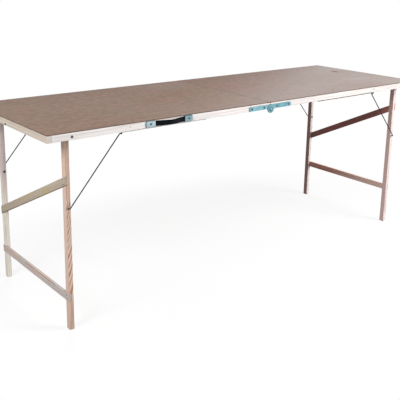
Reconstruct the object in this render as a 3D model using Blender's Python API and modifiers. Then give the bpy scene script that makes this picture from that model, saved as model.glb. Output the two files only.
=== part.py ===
"""A two-section folding trestle table with a hardboard top, timber rails, folding leg frames and wire stays.

Metres, +Z up. The origin is on the floor, midway between the table's furthest points in X and in Y.
+X runs along the table, and the carrying handle is on the -Y side of the left section.
"""

import math

import bmesh
import bpy
from mathutils import Vector

# The table as it stands open
TABLE_LENGTH = 1.830
TABLE_DEPTH = 0.585
TABLE_HEIGHT = 0.675
SECTION_GAP = 0.001

# Clearances between pieces
SEAT_GAP = 0.0003
RUNNING_GAP = 0.0003
CUT_OVERRUN = 0.004

# Top boards and the rails under them
BOARD_THICKNESS = 0.003
BOARD_ROUNDING = 0.0005
RAIL_HEIGHT = 0.0225
RAIL_THICKNESS = 0.016
TIMBER_ROUNDING = 0.0010
ROUNDING_SEGMENTS = 2

# Leg frames
LEG_THICKNESS = 0.0165
LEG_WIDTH = 0.021
LEG_INSET = 0.037
LEG_ABOVE_PIVOT = 0.008
PIVOT_FROM_END = 0.083
PIVOT_BELOW_TOP = 0.0155
SLAT_THICKNESS = 0.010
SLAT_HOUSING = 0.007
STRETCHER_WIDTH = 0.025
BRACE_WIDTH = 0.027
BRACE_DROP = 0.233
LEFT_STRETCHER_HEIGHT = 0.116
RIGHT_STRETCHER_HEIGHT = 0.167
LEFT_BRACE_BELOW_PIVOT = 0.1535
RIGHT_BRACE_BELOW_PIVOT = 0.1095

# Bolts that the leg frames turn on
BOLT_RADIUS = 0.003
BOLT_HEAD_RADIUS = 0.0048
BOLT_HEAD_HEIGHT = 0.0020
BOLT_PAST_NUT = 0.0015
SPACER_RADIUS = 0.0065
NUT_RADIUS = 0.0055
NUT_HEIGHT = 0.004
NUT_SIDES = 6

# Wire stays, and the guide wires that their hooks run along
STAY_RADIUS = 0.002
STAY_HOLE_BELOW_PIVOT = 0.240
STAY_BEND_RADIUS = 0.004
STAY_PAST_LEG = 0.004
STAY_SIDE_GAP = 0.0030
HOOK_TIP_RISE = 0.006
HOOK_GAP = 0.0006
HOOK_FROM_END = 0.270
GUIDE_RADIUS = 0.00175
GUIDE_BEND_RADIUS = 0.0035
GUIDE_BELOW_RAIL = 0.0067
GUIDE_INSET = 0.022
GUIDE_NOSE_FROM_END = 0.258
GUIDE_HOLE_FROM_END = 0.292
GUIDE_HOLE_BELOW_TOP = 0.0125
GUIDE_OVERRUN = 0.014
GUIDE_PAST_RAIL = 0.0010
GUIDE_BLIND_DEPTH = 0.010

# Strap hinges across the middle
HINGE_METAL = 0.002
HINGE_LEAF_LENGTH = 0.108
HINGE_LEAF_HEIGHT = 0.017
HINGE_CORNER_RADIUS = 0.002
HINGE_EYE_RADIUS = 0.0155
HINGE_CRANK_START = 0.018
HINGE_CRANK_END = 0.022
HINGE_INNER_SCREW_FROM_AXIS = 0.033
HINGE_OUTER_SCREW_FROM_AXIS = 0.095
RIVET_RADIUS = 0.0035
RIVET_HEAD_RADIUS = 0.0060
RIVET_HEAD_HEIGHT = 0.0015
RIVET_TAIL_RADIUS = 0.0050
RIVET_TAIL_DEPTH = 0.0009

# Wood screws
SCREW_RADIUS = 0.00175
SCREW_HEAD_RADIUS = 0.0040
SCREW_HEAD_HEIGHT = 0.0016
SCREW_DEPTH_IN_RAIL = 0.011
SCREW_POINT_LENGTH = 0.003

# Carrying handle on the left section
HANDLE_FROM_END = 0.4465
HANDLE_BELOW_TOP = 0.0132
HANDLE_LENGTH = 0.192
CAP_LENGTH = 0.035
CAP_HEIGHT = 0.0215
CAP_METAL = 0.0012
CAP_ROUNDING = 0.0012
STRAP_WIDTH = 0.0180
STRAP_THICKNESS = 0.0035
STRAP_RISE = 0.0130
STRAP_INSIDE_CAP = 0.031
STRAP_ROUNDING = 0.0008
STRAP_STEPS = 20

# Catch that holds the closed table shut
CATCH_PIN_BELOW_TOP = 0.0210
CATCH_SCREW_BELOW_TOP = 0.0130
CATCH_METAL = 0.0015
CATCH_HALF_WIDTH = 0.0045
CATCH_PIN_RADIUS = 0.0020
CATCH_HEAD_RADIUS = 0.0036
CATCH_HEAD_HEIGHT = 0.0016

# Smoothness of round shapes
ROUND_STEPS = 20
ARC_STEP = math.radians(15)
WIRE_RESOLUTION = 2
SMOOTH_ANGLE = math.radians(40)
MERGE_DISTANCE = 0.00001

LEFT, RIGHT = -1, 1
FRONT, BACK = -1, 1
SIDE_NAMES = {LEFT: "left", RIGHT: "right"}
ROW_NAMES = {FRONT: "front", BACK: "back"}

# Heights that several pieces share
BOARD_UNDERSIDE = TABLE_HEIGHT - BOARD_THICKNESS
RAIL_TOP = BOARD_UNDERSIDE - SEAT_GAP
RAIL_BOTTOM = RAIL_TOP - RAIL_HEIGHT
PIVOT_HEIGHT = TABLE_HEIGHT - PIVOT_BELOW_TOP
STAY_HOLE_HEIGHT = PIVOT_HEIGHT - STAY_HOLE_BELOW_PIVOT
GUIDE_HEIGHT = RAIL_BOTTOM - GUIDE_BELOW_RAIL
GUIDE_HOLE_HEIGHT = TABLE_HEIGHT - GUIDE_HOLE_BELOW_TOP
HANDLE_HEIGHT = TABLE_HEIGHT - HANDLE_BELOW_TOP
STRETCHER_HEIGHTS = {LEFT: LEFT_STRETCHER_HEIGHT, RIGHT: RIGHT_STRETCHER_HEIGHT}
BRACE_FRONT_HEIGHTS = {
    LEFT: PIVOT_HEIGHT - LEFT_BRACE_BELOW_PIVOT,
    RIGHT: PIVOT_HEIGHT - RIGHT_BRACE_BELOW_PIVOT,
}

# How far the hinges and the handle stand out of the rails, and the shift that centres the whole
CRANK_OFFSET = HINGE_METAL + RUNNING_GAP
HINGE_REACH = SEAT_GAP + HINGE_METAL + CRANK_OFFSET + RUNNING_GAP + RIVET_HEAD_HEIGHT
CAP_DEPTH = STRAP_THICKNESS + 2 * SEAT_GAP + CAP_METAL
HANDLE_REACH = 2 * SEAT_GAP + STRAP_THICKNESS + STRAP_RISE
DEPTH_SHIFT = (HANDLE_REACH - HINGE_REACH) / 2

# The hook's height under the guide wire, and the stay's length from leg hole to hook
HOOK_DROP = GUIDE_RADIUS + HOOK_GAP + STAY_RADIUS
HOOK_HEIGHT = GUIDE_HEIGHT - HOOK_DROP
STAY_LENGTH = math.hypot(HOOK_FROM_END - PIVOT_FROM_END, HOOK_HEIGHT - STAY_HOLE_HEIGHT)
FOLDED_HOOK_REACH = math.sqrt(STAY_LENGTH**2 - (PIVOT_HEIGHT - HOOK_HEIGHT) ** 2)
GUIDE_END_FROM_END = PIVOT_FROM_END + STAY_HOLE_BELOW_PIVOT + FOLDED_HOOK_REACH + GUIDE_OVERRUN


def along(side, from_end):
    """X of a point that lies from_end inside the table's left or right end."""
    return side * (TABLE_LENGTH / 2 - from_end)


def across(row, inset):
    """Y of a point that lies inset inside the front or back face of the rails."""
    return row * (TABLE_DEPTH / 2 - inset) + DEPTH_SHIFT


def clear_scene():
    for obj in list(bpy.data.objects):
        bpy.data.objects.remove(obj, do_unlink=True)


def new_collection(name):
    collection = bpy.data.collections.new(name)
    bpy.context.scene.collection.children.link(collection)
    return collection


def new_material(name, color, roughness, metallic):
    material = bpy.data.materials.new(name)
    material.use_nodes = True
    shader = material.node_tree.nodes["Principled BSDF"]
    shader.inputs["Base Color"].default_value = (*color, 1.0)
    shader.inputs["Roughness"].default_value = roughness
    shader.inputs["Metallic"].default_value = metallic
    material.diffuse_color = (*color, 1.0)
    return material


def attach(obj, parent):
    """Parents obj without moving it."""
    bpy.context.view_layer.update()
    obj.parent = parent
    obj.matrix_parent_inverse = parent.matrix_world.inverted()


def new_empty(name, location, parent=None):
    empty = bpy.data.objects.new(name, None)
    empty.location = location
    parts.objects.link(empty)
    if parent:
        attach(empty, parent)
    return empty


def new_object(name, data, location, material=None, parent=None):
    """Adds a piece, or a cutter where no material is given."""
    obj = bpy.data.objects.new(name, data)
    obj.location = location
    if material:
        data.materials.append(material)
        parts.objects.link(obj)
    else:
        obj.hide_render = True
        obj.display_type = "WIRE"
        cutters.objects.link(obj)
    if parent:
        attach(obj, parent)
    return obj


def mesh_from_bmesh(name, bm):
    mesh = bpy.data.meshes.new(name)
    bm.to_mesh(mesh)
    bm.free()
    return mesh


def new_box(name, low, high, material=None, parent=None, rounding=0.0):
    """A box from its lowest to its highest corner."""
    size = Vector(high) - Vector(low)
    bm = bmesh.new()
    bmesh.ops.create_cube(bm, size=1)
    bmesh.ops.scale(bm, vec=size, verts=bm.verts)
    center = (Vector(high) + Vector(low)) / 2
    obj = new_object(name, mesh_from_bmesh(name, bm), center, material, parent)
    if rounding:
        round_edges(obj, rounding)
    return obj


def new_cylinder(name, radius, start, end, sides=ROUND_STEPS, material=None, parent=None):
    """A cylinder or prism between two points."""
    way = Vector(end) - Vector(start)
    bm = bmesh.new()
    bmesh.ops.create_cone(
        bm, cap_ends=True, segments=sides, radius1=radius, radius2=radius, depth=way.length
    )
    center = (Vector(start) + Vector(end)) / 2
    obj = new_object(name, mesh_from_bmesh(name, bm), center, material, parent)
    obj.rotation_euler = Vector((0, 0, 1)).rotation_difference(way).to_euler()
    return obj


def new_turned(name, profile, location, outward, material, parent, closed=False):
    """A turned piece. The profile of (radius, height) pairs runs down its outer side."""
    mesh = bpy.data.meshes.new(name)
    edges = [(i, i + 1) for i in range(len(profile) - 1)]
    if closed:
        edges.append((len(profile) - 1, 0))
    mesh.from_pydata([(radius, 0, height) for radius, height in profile], edges, [])
    turned = bpy.data.objects.new(name, mesh)
    parts.objects.link(turned)
    screw = turned.modifiers.new("Turn", "SCREW")
    screw.steps = screw.render_steps = ROUND_STEPS
    screw.use_merge_vertices = True
    screw.merge_threshold = MERGE_DISTANCE
    obj = new_object(name, settled_mesh(turned, name), location, material)
    obj.rotation_euler = Vector((0, 0, 1)).rotation_difference(Vector(outward)).to_euler()
    obj.data.shade_smooth()
    obj.data.set_sharp_from_angle(angle=SMOOTH_ANGLE)
    if parent:
        attach(obj, parent)
    return obj


def settled_mesh(source, name):
    """The closed mesh that a curve or a modifier makes, with its caps welded on. The source goes."""
    bpy.context.view_layer.update()
    evaluated = source.evaluated_get(bpy.context.evaluated_depsgraph_get())
    mesh = bpy.data.meshes.new_from_object(evaluated)
    bpy.data.objects.remove(source, do_unlink=True)
    mesh.name = name
    bm = bmesh.new()
    bm.from_mesh(mesh)
    bmesh.ops.remove_doubles(bm, verts=bm.verts, dist=MERGE_DISTANCE)
    bmesh.ops.recalc_face_normals(bm, faces=bm.faces)
    bm.to_mesh(mesh)
    bm.free()
    return mesh


def new_plate(name, points, thickness, location, turn, material=None, parent=None):
    """A flat outline in its own XY plane, given a thickness and turned into place."""
    curve = bpy.data.curves.new(name, "CURVE")
    curve.dimensions = "2D"
    curve.fill_mode = "BOTH"
    curve.extrude = thickness / 2
    spline = curve.splines.new("POLY")
    spline.points.add(len(points) - 1)
    for point, (x, y) in zip(spline.points, points):
        point.co = (x, y, 0, 1)
    spline.use_cyclic_u = True
    outline = bpy.data.objects.new(name, curve)
    parts.objects.link(outline)
    obj = new_object(name, settled_mesh(outline, name), location, material)
    obj.rotation_euler = turn
    if parent:
        attach(obj, parent)
    return obj


def new_wire(name, points, radius, origin, material, parent):
    """A round wire through points given in world space. Its own origin is at origin."""
    curve = bpy.data.curves.new(name, "CURVE")
    curve.dimensions = "3D"
    curve.bevel_depth = radius
    curve.bevel_resolution = WIRE_RESOLUTION
    curve.use_fill_caps = True
    spline = curve.splines.new("POLY")
    spline.points.add(len(points) - 1)
    for point, place in zip(spline.points, points):
        point.co = (*(Vector(place) - Vector(origin)), 1)
    spline.use_smooth = True
    return new_object(name, curve, origin, material, parent)


def round_edges(obj, width):
    bevel = obj.modifiers.new("Rounded edges", "BEVEL")
    bevel.width = width
    bevel.segments = ROUNDING_SEGMENTS
    bevel.limit_method = "ANGLE"
    bevel.use_clamp_overlap = True


def combine(obj, tool, operation="DIFFERENCE"):
    """Cuts obj with tool, or keeps only what the two share. The tool moves with the piece."""
    boolean = obj.modifiers.new(tool.name, "BOOLEAN")
    boolean.operation = operation
    boolean.solver = "EXACT"
    boolean.object = tool
    attach(tool, obj)


def drill(obj, name, radius, start, end):
    combine(obj, new_cylinder(f"{name}_hole", radius, start, end))


def arc(center, radius, start, end):
    """Points along an arc in its own plane, both ends among them."""
    steps = max(1, round(abs(end - start) / ARC_STEP))
    turns = [start + (end - start) * i / steps for i in range(steps + 1)]
    return [(center[0] + radius * math.cos(a), center[1] + radius * math.sin(a)) for a in turns]


def slot_outline(start, end, radius):
    """A straight slot with round ends, from the centre of one end to that of the other."""
    heading = math.atan2(end[1] - start[1], end[0] - start[0])
    quarter = math.pi / 2
    near = arc(start, radius, heading + quarter, heading + 3 * quarter)
    far = arc(end, radius, heading - quarter, heading + quarter)
    return near + far


def bent_path(corners, radius):
    """The corners of a wire's path, each bend replaced by points on an arc."""
    corners = [Vector(corner) for corner in corners]
    path = [corners[0]]
    for before, corner, after in zip(corners, corners[1:], corners[2:]):
        incoming = (corner - before).normalized()
        outgoing = (after - corner).normalized()
        turn = incoming.angle(outgoing)
        tangent = radius * math.tan(turn / 2)
        start = corner - incoming * tangent
        middle = start + (outgoing - incoming * incoming.dot(outgoing)).normalized() * radius
        normal = incoming.cross(outgoing).normalized()
        arm = start - middle
        steps = max(2, math.ceil(turn / (2 * ARC_STEP)))
        for i in range(steps + 1):
            angle = turn * i / steps
            path.append(middle + arm * math.cos(angle) + normal.cross(arm) * math.sin(angle))
    path.append(corners[-1])
    return path


def screw_profile(head_radius, head_height, shank_radius, length, point_length=0.0):
    """A domed head that sits on height 0, and a shank below it, with a point if it has one."""
    dome = [
        (head_radius * math.sin(a), head_height * math.cos(a))
        for a in (0, math.pi / 6, math.pi / 3, math.pi / 2)
    ]
    return dome + [(shank_radius, 0), (shank_radius, point_length - length), (0, -length)]


def make_board(side, parent):
    inner, outer = side * SECTION_GAP / 2, along(side, 0)
    new_box(
        f"{SIDE_NAMES[side]}_top_board",
        (min(inner, outer), across(FRONT, 0), BOARD_UNDERSIDE),
        (max(inner, outer), across(BACK, 0), TABLE_HEIGHT),
        hardboard,
        parent,
        BOARD_ROUNDING,
    )


def make_cross_rail(name, side, face_x, parent):
    """A rail across the table. face_x is its face nearer to the end of the table."""
    inner = face_x - side * RAIL_THICKNESS
    return new_box(
        name,
        (min(inner, face_x), across(FRONT, 0), RAIL_BOTTOM),
        (max(inner, face_x), across(BACK, 0), RAIL_TOP),
        rail_timber,
        parent,
        TIMBER_ROUNDING,
    )


def make_long_rail(side, row, parent):
    """A front or back rail. It butts between the end rail and the centre rail."""
    outer = along(side, RAIL_THICKNESS + SEAT_GAP)
    inner = side * (SECTION_GAP / 2 + RAIL_THICKNESS + SEAT_GAP)
    face, back = across(row, 0), across(row, RAIL_THICKNESS)
    name = f"{SIDE_NAMES[side]}_{ROW_NAMES[row]}_rail"
    rail = new_box(
        name,
        (min(inner, outer), min(face, back), RAIL_BOTTOM),
        (max(inner, outer), max(face, back), RAIL_TOP),
        rail_timber,
        parent,
        TIMBER_ROUNDING,
    )
    pivot_x, guide_x = along(side, PIVOT_FROM_END), along(side, GUIDE_HOLE_FROM_END)
    end_x = along(side, GUIDE_END_FROM_END)
    outside, inside = across(row, -CUT_OVERRUN), across(row, RAIL_THICKNESS + CUT_OVERRUN)
    drill(
        rail,
        f"{name}_pivot",
        BOLT_RADIUS + SEAT_GAP,
        (pivot_x, outside, PIVOT_HEIGHT),
        (pivot_x, inside, PIVOT_HEIGHT),
    )
    drill(
        rail,
        f"{name}_guide",
        GUIDE_RADIUS + SEAT_GAP,
        (guide_x, outside, GUIDE_HOLE_HEIGHT),
        (guide_x, inside, GUIDE_HOLE_HEIGHT),
    )
    blind = across(row, RAIL_THICKNESS - GUIDE_BLIND_DEPTH - SEAT_GAP)
    drill(
        rail,
        f"{name}_guide_end",
        GUIDE_RADIUS + SEAT_GAP,
        (end_x, blind, GUIDE_HOLE_HEIGHT),
        (end_x, inside, GUIDE_HOLE_HEIGHT),
    )
    return rail


def slat_outline(front_height, back_height, width, margin=0.0):
    """A cross slat in (y, z), its ends upright and flush with the legs' outer faces."""
    front, back = across(FRONT, LEG_INSET), across(BACK, LEG_INSET)
    between_centres = back - front - LEG_WIDTH
    slope = (back_height - front_height) / between_centres
    upright_half = (width / 2 + margin) * math.hypot(1, slope)
    front_z = front_height - slope * (LEG_WIDTH / 2 + margin)
    back_z = back_height + slope * (LEG_WIDTH / 2 + margin)
    return [
        (front - margin, front_z - upright_half),
        (back + margin, back_z - upright_half),
        (back + margin, back_z + upright_half),
        (front - margin, front_z + upright_half),
    ]


def make_leg_frame(side, parent):
    """Two legs with a stretcher and a diagonal brace let into their outer faces."""
    name = SIDE_NAMES[side]
    pivot_x = along(side, PIVOT_FROM_END)
    leg_face = pivot_x + side * LEG_THICKNESS / 2
    slat_face = leg_face + side * (SLAT_THICKNESS - SLAT_HOUSING)
    slat_x = slat_face - side * SLAT_THICKNESS / 2
    turn = (math.pi / 2, 0, math.pi / 2)
    stretcher_z = STRETCHER_HEIGHTS[side]
    brace_z = BRACE_FRONT_HEIGHTS[side]
    slats = {
        "lower_stretcher": (stretcher_z, stretcher_z, STRETCHER_WIDTH),
        "diagonal_brace": (brace_z, brace_z - BRACE_DROP, BRACE_WIDTH),
    }
    for slat_name, sizes in slats.items():
        slat = new_plate(
            f"{name}_{slat_name}",
            slat_outline(*sizes),
            SLAT_THICKNESS,
            (slat_x, 0, 0),
            turn,
            leg_timber,
            parent,
        )
        round_edges(slat, TIMBER_ROUNDING)
    for row in (FRONT, BACK):
        leg_name = f"{name}_{ROW_NAMES[row]}_leg"
        outer, inner = across(row, LEG_INSET), across(row, LEG_INSET + LEG_WIDTH)
        leg = new_box(
            leg_name,
            (pivot_x - LEG_THICKNESS / 2, min(outer, inner), 0),
            (pivot_x + LEG_THICKNESS / 2, max(outer, inner), PIVOT_HEIGHT + LEG_ABOVE_PIVOT),
            leg_timber,
            parent,
            TIMBER_ROUNDING,
        )
        for slat_name, sizes in slats.items():
            housing = new_plate(
                f"{leg_name}_{slat_name}_housing",
                slat_outline(*sizes, SEAT_GAP),
                SLAT_THICKNESS + 2 * SEAT_GAP,
                (slat_x, 0, 0),
                turn,
            )
            combine(leg, housing)
        outside, inside = across(row, LEG_INSET - CUT_OVERRUN), inner - row * CUT_OVERRUN
        for hole_name, radius, height in (
            ("pivot", BOLT_RADIUS + RUNNING_GAP, PIVOT_HEIGHT),
            ("stay", STAY_RADIUS + RUNNING_GAP, STAY_HOLE_HEIGHT),
        ):
            drill(
                leg,
                f"{leg_name}_{hole_name}",
                radius,
                (pivot_x, outside, height),
                (pivot_x, inside, height),
            )


def make_pivot(side, row, parent):
    """The bolt that a leg turns on, the tube that spaces it off the rail, and its nut."""
    name = f"{SIDE_NAMES[side]}_{ROW_NAMES[row]}_pivot"
    x, outward = along(side, PIVOT_FROM_END), (0, row, 0)
    nut_inset = LEG_INSET + LEG_WIDTH + RUNNING_GAP
    length = SEAT_GAP + nut_inset + NUT_HEIGHT + BOLT_PAST_NUT
    new_turned(
        f"{name}_bolt",
        screw_profile(BOLT_HEAD_RADIUS, BOLT_HEAD_HEIGHT, BOLT_RADIUS, length),
        (x, across(row, -SEAT_GAP), PIVOT_HEIGHT),
        outward,
        zinc,
        parent,
    )
    tube_length = LEG_INSET - RAIL_THICKNESS - SEAT_GAP - RUNNING_GAP
    bore = BOLT_RADIUS + RUNNING_GAP
    new_turned(
        f"{name}_spacer",
        [(SPACER_RADIUS, 0), (SPACER_RADIUS, -tube_length), (bore, -tube_length), (bore, 0)],
        (x, across(row, RAIL_THICKNESS + SEAT_GAP), PIVOT_HEIGHT),
        outward,
        zinc,
        parent,
        closed=True,
    )
    nut = new_cylinder(
        f"{name}_nut",
        NUT_RADIUS,
        (x, across(row, nut_inset), PIVOT_HEIGHT),
        (x, across(row, nut_inset + NUT_HEIGHT), PIVOT_HEIGHT),
        sides=NUT_SIDES,
        material=zinc,
        parent=parent,
    )
    drill(
        nut,
        f"{name}_nut",
        bore,
        (x, across(row, nut_inset - CUT_OVERRUN), PIVOT_HEIGHT),
        (x, across(row, nut_inset + NUT_HEIGHT + CUT_OVERRUN), PIVOT_HEIGHT),
    )


def make_stay(side, row, parent):
    """A wire from a hole in the leg up to a hook under the guide wire."""
    hole_x, hook_x = along(side, PIVOT_FROM_END), along(side, HOOK_FROM_END)
    stay_y = across(row, GUIDE_INSET + GUIDE_RADIUS + STAY_SIDE_GAP + STAY_RADIUS)
    tip_y = across(row, GUIDE_INSET - HOOK_DROP)
    corners = [
        (hole_x, across(row, LEG_INSET + LEG_WIDTH + STAY_PAST_LEG), STAY_HOLE_HEIGHT),
        (hole_x, stay_y, STAY_HOLE_HEIGHT),
        (hook_x, stay_y, HOOK_HEIGHT),
        (hook_x, tip_y, HOOK_HEIGHT),
        (hook_x, tip_y, HOOK_HEIGHT + HOOK_TIP_RISE),
    ]
    new_wire(
        f"{SIDE_NAMES[side]}_{ROW_NAMES[row]}_stay",
        bent_path(corners, STAY_BEND_RADIUS),
        STAY_RADIUS,
        (hole_x, across(row, LEG_INSET), STAY_HOLE_HEIGHT),
        steel_wire,
        parent,
    )


def make_guide(side, row, parent):
    """The wire that a stay's hook runs along, from a hole through the rail to a blind one."""
    hole_x, nose_x = along(side, GUIDE_HOLE_FROM_END), along(side, GUIDE_NOSE_FROM_END)
    end_x, run_y = along(side, GUIDE_END_FROM_END), across(row, GUIDE_INSET)
    corners = [
        (hole_x, across(row, -GUIDE_PAST_RAIL), GUIDE_HOLE_HEIGHT),
        (hole_x, run_y, GUIDE_HOLE_HEIGHT),
        (nose_x, run_y, GUIDE_HEIGHT),
        (end_x, run_y, GUIDE_HEIGHT),
        (end_x, run_y, GUIDE_HOLE_HEIGHT),
        (end_x, across(row, RAIL_THICKNESS - GUIDE_BLIND_DEPTH), GUIDE_HOLE_HEIGHT),
    ]
    new_wire(
        f"{SIDE_NAMES[side]}_{ROW_NAMES[row]}_stay_guide",
        bent_path(corners, GUIDE_BEND_RADIUS),
        GUIDE_RADIUS,
        corners[0],
        steel_wire,
        parent,
    )


def leaf_outline(side):
    """A hinge leaf in (x, z) about the hinge axis: a strap with a round eye at its inner end."""
    seam = SECTION_GAP / 2
    eye_top = math.acos(seam / HINGE_EYE_RADIUS)
    corner, far = HINGE_CORNER_RADIUS, HINGE_LEAF_LENGTH - HINGE_CORNER_RADIUS
    eye = arc((0, 0), HINGE_EYE_RADIUS, 0, -math.pi)
    points = [(seam, HINGE_LEAF_HEIGHT)]
    points += arc((far, HINGE_LEAF_HEIGHT - corner), corner, math.pi / 2, 0)
    points += arc((far, corner), corner, 0, -math.pi / 2)
    points += eye + arc((0, 0), HINGE_EYE_RADIUS, math.pi, math.pi - eye_top)[1:]
    return [(side * x, z) for x, z in points]


def cranked_outline(side, row):
    """The right leaf's strap in (x, y): flat on the rail, then stepped out over the other eye."""
    seated, raised = SEAT_GAP, SEAT_GAP + CRANK_OFFSET
    run = [
        (HINGE_LEAF_LENGTH + CUT_OVERRUN, seated),
        (HINGE_CRANK_END, seated),
        (HINGE_CRANK_START, raised),
        (-HINGE_EYE_RADIUS - CUT_OVERRUN, raised),
    ]
    inner = [(side * x, row * y) for x, y in run]
    outer = [(side * x, row * (y + HINGE_METAL)) for x, y in reversed(run)]
    return inner + outer


def make_hinge(row, left_parent, right_parent):
    """Two strap leaves, one eye over the other on a rivet at the rails' lower edge."""
    name = f"{ROW_NAMES[row]}_hinge"
    turn = (math.pi / 2, 0, 0)
    face, reach = across(row, 0), across(row, -HINGE_REACH - CUT_OVERRUN)
    axis_hole = ((0, across(row, CUT_OVERRUN), RAIL_BOTTOM), (0, reach, RAIL_BOTTOM))
    left = new_plate(
        f"{name}_left_leaf",
        leaf_outline(LEFT),
        HINGE_METAL,
        (0, across(row, -SEAT_GAP - HINGE_METAL / 2), RAIL_BOTTOM),
        turn,
        zinc,
        left_parent,
    )
    tail_floor = across(row, -SEAT_GAP - RIVET_TAIL_DEPTH - RUNNING_GAP)
    drill(
        left,
        f"{name}_rivet_tail",
        RIVET_TAIL_RADIUS + RUNNING_GAP,
        axis_hole[0],
        (0, tail_floor, RAIL_BOTTOM),
    )
    right = new_plate(
        f"{name}_right_leaf",
        cranked_outline(RIGHT, row),
        2 * (HINGE_LEAF_HEIGHT + CUT_OVERRUN),
        (0, face, RAIL_BOTTOM),
        (0, 0, 0),
        zinc,
        right_parent,
    )
    keeper = new_plate(
        f"{name}_right_leaf_outline",
        leaf_outline(RIGHT),
        2 * (HINGE_REACH + CUT_OVERRUN),
        (0, face, RAIL_BOTTOM),
        turn,
    )
    combine(right, keeper, "INTERSECT")
    for leaf, leaf_name in ((left, "left"), (right, "right")):
        drill(leaf, f"{name}_{leaf_name}_eye", RIVET_RADIUS + RUNNING_GAP, *axis_hole)
    seat = SEAT_GAP + CRANK_OFFSET + HINGE_METAL + RUNNING_GAP
    tail = -(seat - SEAT_GAP)
    tail_top = tail + RIVET_TAIL_DEPTH
    profile = screw_profile(RIVET_HEAD_RADIUS, RIVET_HEAD_HEIGHT, RIVET_RADIUS, -tail_top)[:-1]
    profile += [(RIVET_TAIL_RADIUS, tail_top), (RIVET_TAIL_RADIUS, tail), (0, tail)]
    new_turned(
        f"{name}_rivet",
        profile,
        (0, across(row, -seat), RAIL_BOTTOM),
        (0, row, 0),
        zinc,
        left_parent,
    )
    return {LEFT: left, RIGHT: right}


def add_screw(name, x, row, height, seat, pieces, rail, parent):
    """A screw whose head seats that far out of the rail's face, through pieces and into the rail."""
    length = seat + SCREW_DEPTH_IN_RAIL
    outside = across(row, -seat - CUT_OVERRUN)
    hole_end = across(row, SCREW_DEPTH_IN_RAIL + SEAT_GAP)
    for piece in (*pieces, rail):
        drill(
            piece,
            f"{name}_in_{piece.name}",
            SCREW_RADIUS + SEAT_GAP,
            (x, outside, height),
            (x, hole_end, height),
        )
    new_turned(
        name,
        screw_profile(
            SCREW_HEAD_RADIUS, SCREW_HEAD_HEIGHT, SCREW_RADIUS, length, SCREW_POINT_LENGTH
        ),
        (x, across(row, -seat), height),
        (0, row, 0),
        zinc,
        parent,
    )


def add_hinge_screws(row, leaves, rails, parents):
    seat = 2 * SEAT_GAP + HINGE_METAL
    height = RAIL_BOTTOM + HINGE_LEAF_HEIGHT / 2
    places = {"inner": HINGE_INNER_SCREW_FROM_AXIS, "outer": HINGE_OUTER_SCREW_FROM_AXIS}
    for side in (LEFT, RIGHT):
        for place, from_axis in places.items():
            name = f"{ROW_NAMES[row]}_hinge_{SIDE_NAMES[side]}_{place}_screw"
            x = side * from_axis
            add_screw(name, x, row, height, seat, [leaves[side]], rails[side], parents[side])


def strap_outline():
    """The strap in (x, y) about the handle's middle: flat in the caps, arched between them."""
    mouth = HANDLE_LENGTH / 2 - CAP_LENGTH
    end = mouth + STRAP_INSIDE_CAP
    arch = [mouth * (2 * i / STRAP_STEPS - 1) for i in range(STRAP_STEPS + 1)]
    xs = [-end, *arch, end]
    middle = 2 * SEAT_GAP + STRAP_THICKNESS / 2
    line = []
    for x in xs:
        inside = min(abs(x), mouth) / mouth
        rise = STRAP_RISE * (1 + math.cos(math.pi * inside)) / 2
        slope = STRAP_RISE * math.pi / (2 * mouth) * math.sin(math.pi * inside)
        slope = math.copysign(slope, x)
        line.append((x, -middle - rise, slope))
    half = STRAP_THICKNESS / 2
    near, far = [], []
    for x, y, slope in line:
        length = math.hypot(1, slope)
        near.append((x - half * slope / length, y + half / length))
        far.append((x + half * slope / length, y - half / length))
    return near + far[::-1]


def make_handle(rail, parent):
    """A strap whose ends are held under two pressed caps on the left front rail."""
    center_x, face = along(LEFT, HANDLE_FROM_END), across(FRONT, 0)
    strap = new_plate(
        "handle_strap",
        strap_outline(),
        STRAP_WIDTH,
        (center_x, face, HANDLE_HEIGHT),
        (0, 0, 0),
        strap_plastic,
        parent,
    )
    round_edges(strap, STRAP_ROUNDING)
    mouth = HANDLE_LENGTH / 2 - CAP_LENGTH
    strap_end = mouth + STRAP_INSIDE_CAP
    seated = across(FRONT, -SEAT_GAP)
    front = across(FRONT, -SEAT_GAP - CAP_DEPTH)
    for side in (LEFT, RIGHT):
        outer, inner = center_x + side * HANDLE_LENGTH / 2, center_x + side * mouth
        name = f"handle_{SIDE_NAMES[side]}_cap"
        cap = new_box(
            name,
            (min(outer, inner), front, HANDLE_HEIGHT - CAP_HEIGHT / 2),
            (max(outer, inner), seated, HANDLE_HEIGHT + CAP_HEIGHT / 2),
            zinc,
            parent,
            CAP_ROUNDING,
        )
        pocket_end = center_x + side * (strap_end + SEAT_GAP)
        pocket_mouth = inner - side * CUT_OVERRUN
        half_width = STRAP_WIDTH / 2 + SEAT_GAP
        pocket = new_box(
            f"{name}_pocket",
            (min(pocket_end, pocket_mouth), front + CAP_METAL, HANDLE_HEIGHT - half_width),
            (max(pocket_end, pocket_mouth), face + CUT_OVERRUN, HANDLE_HEIGHT + half_width),
        )
        combine(cap, pocket)
        add_screw(
            f"handle_{SIDE_NAMES[side]}_screw",
            (outer + inner) / 2,
            FRONT,
            HANDLE_HEIGHT,
            2 * SEAT_GAP + CAP_DEPTH,
            [cap, strap],
            rail,
            parent,
        )


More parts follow.
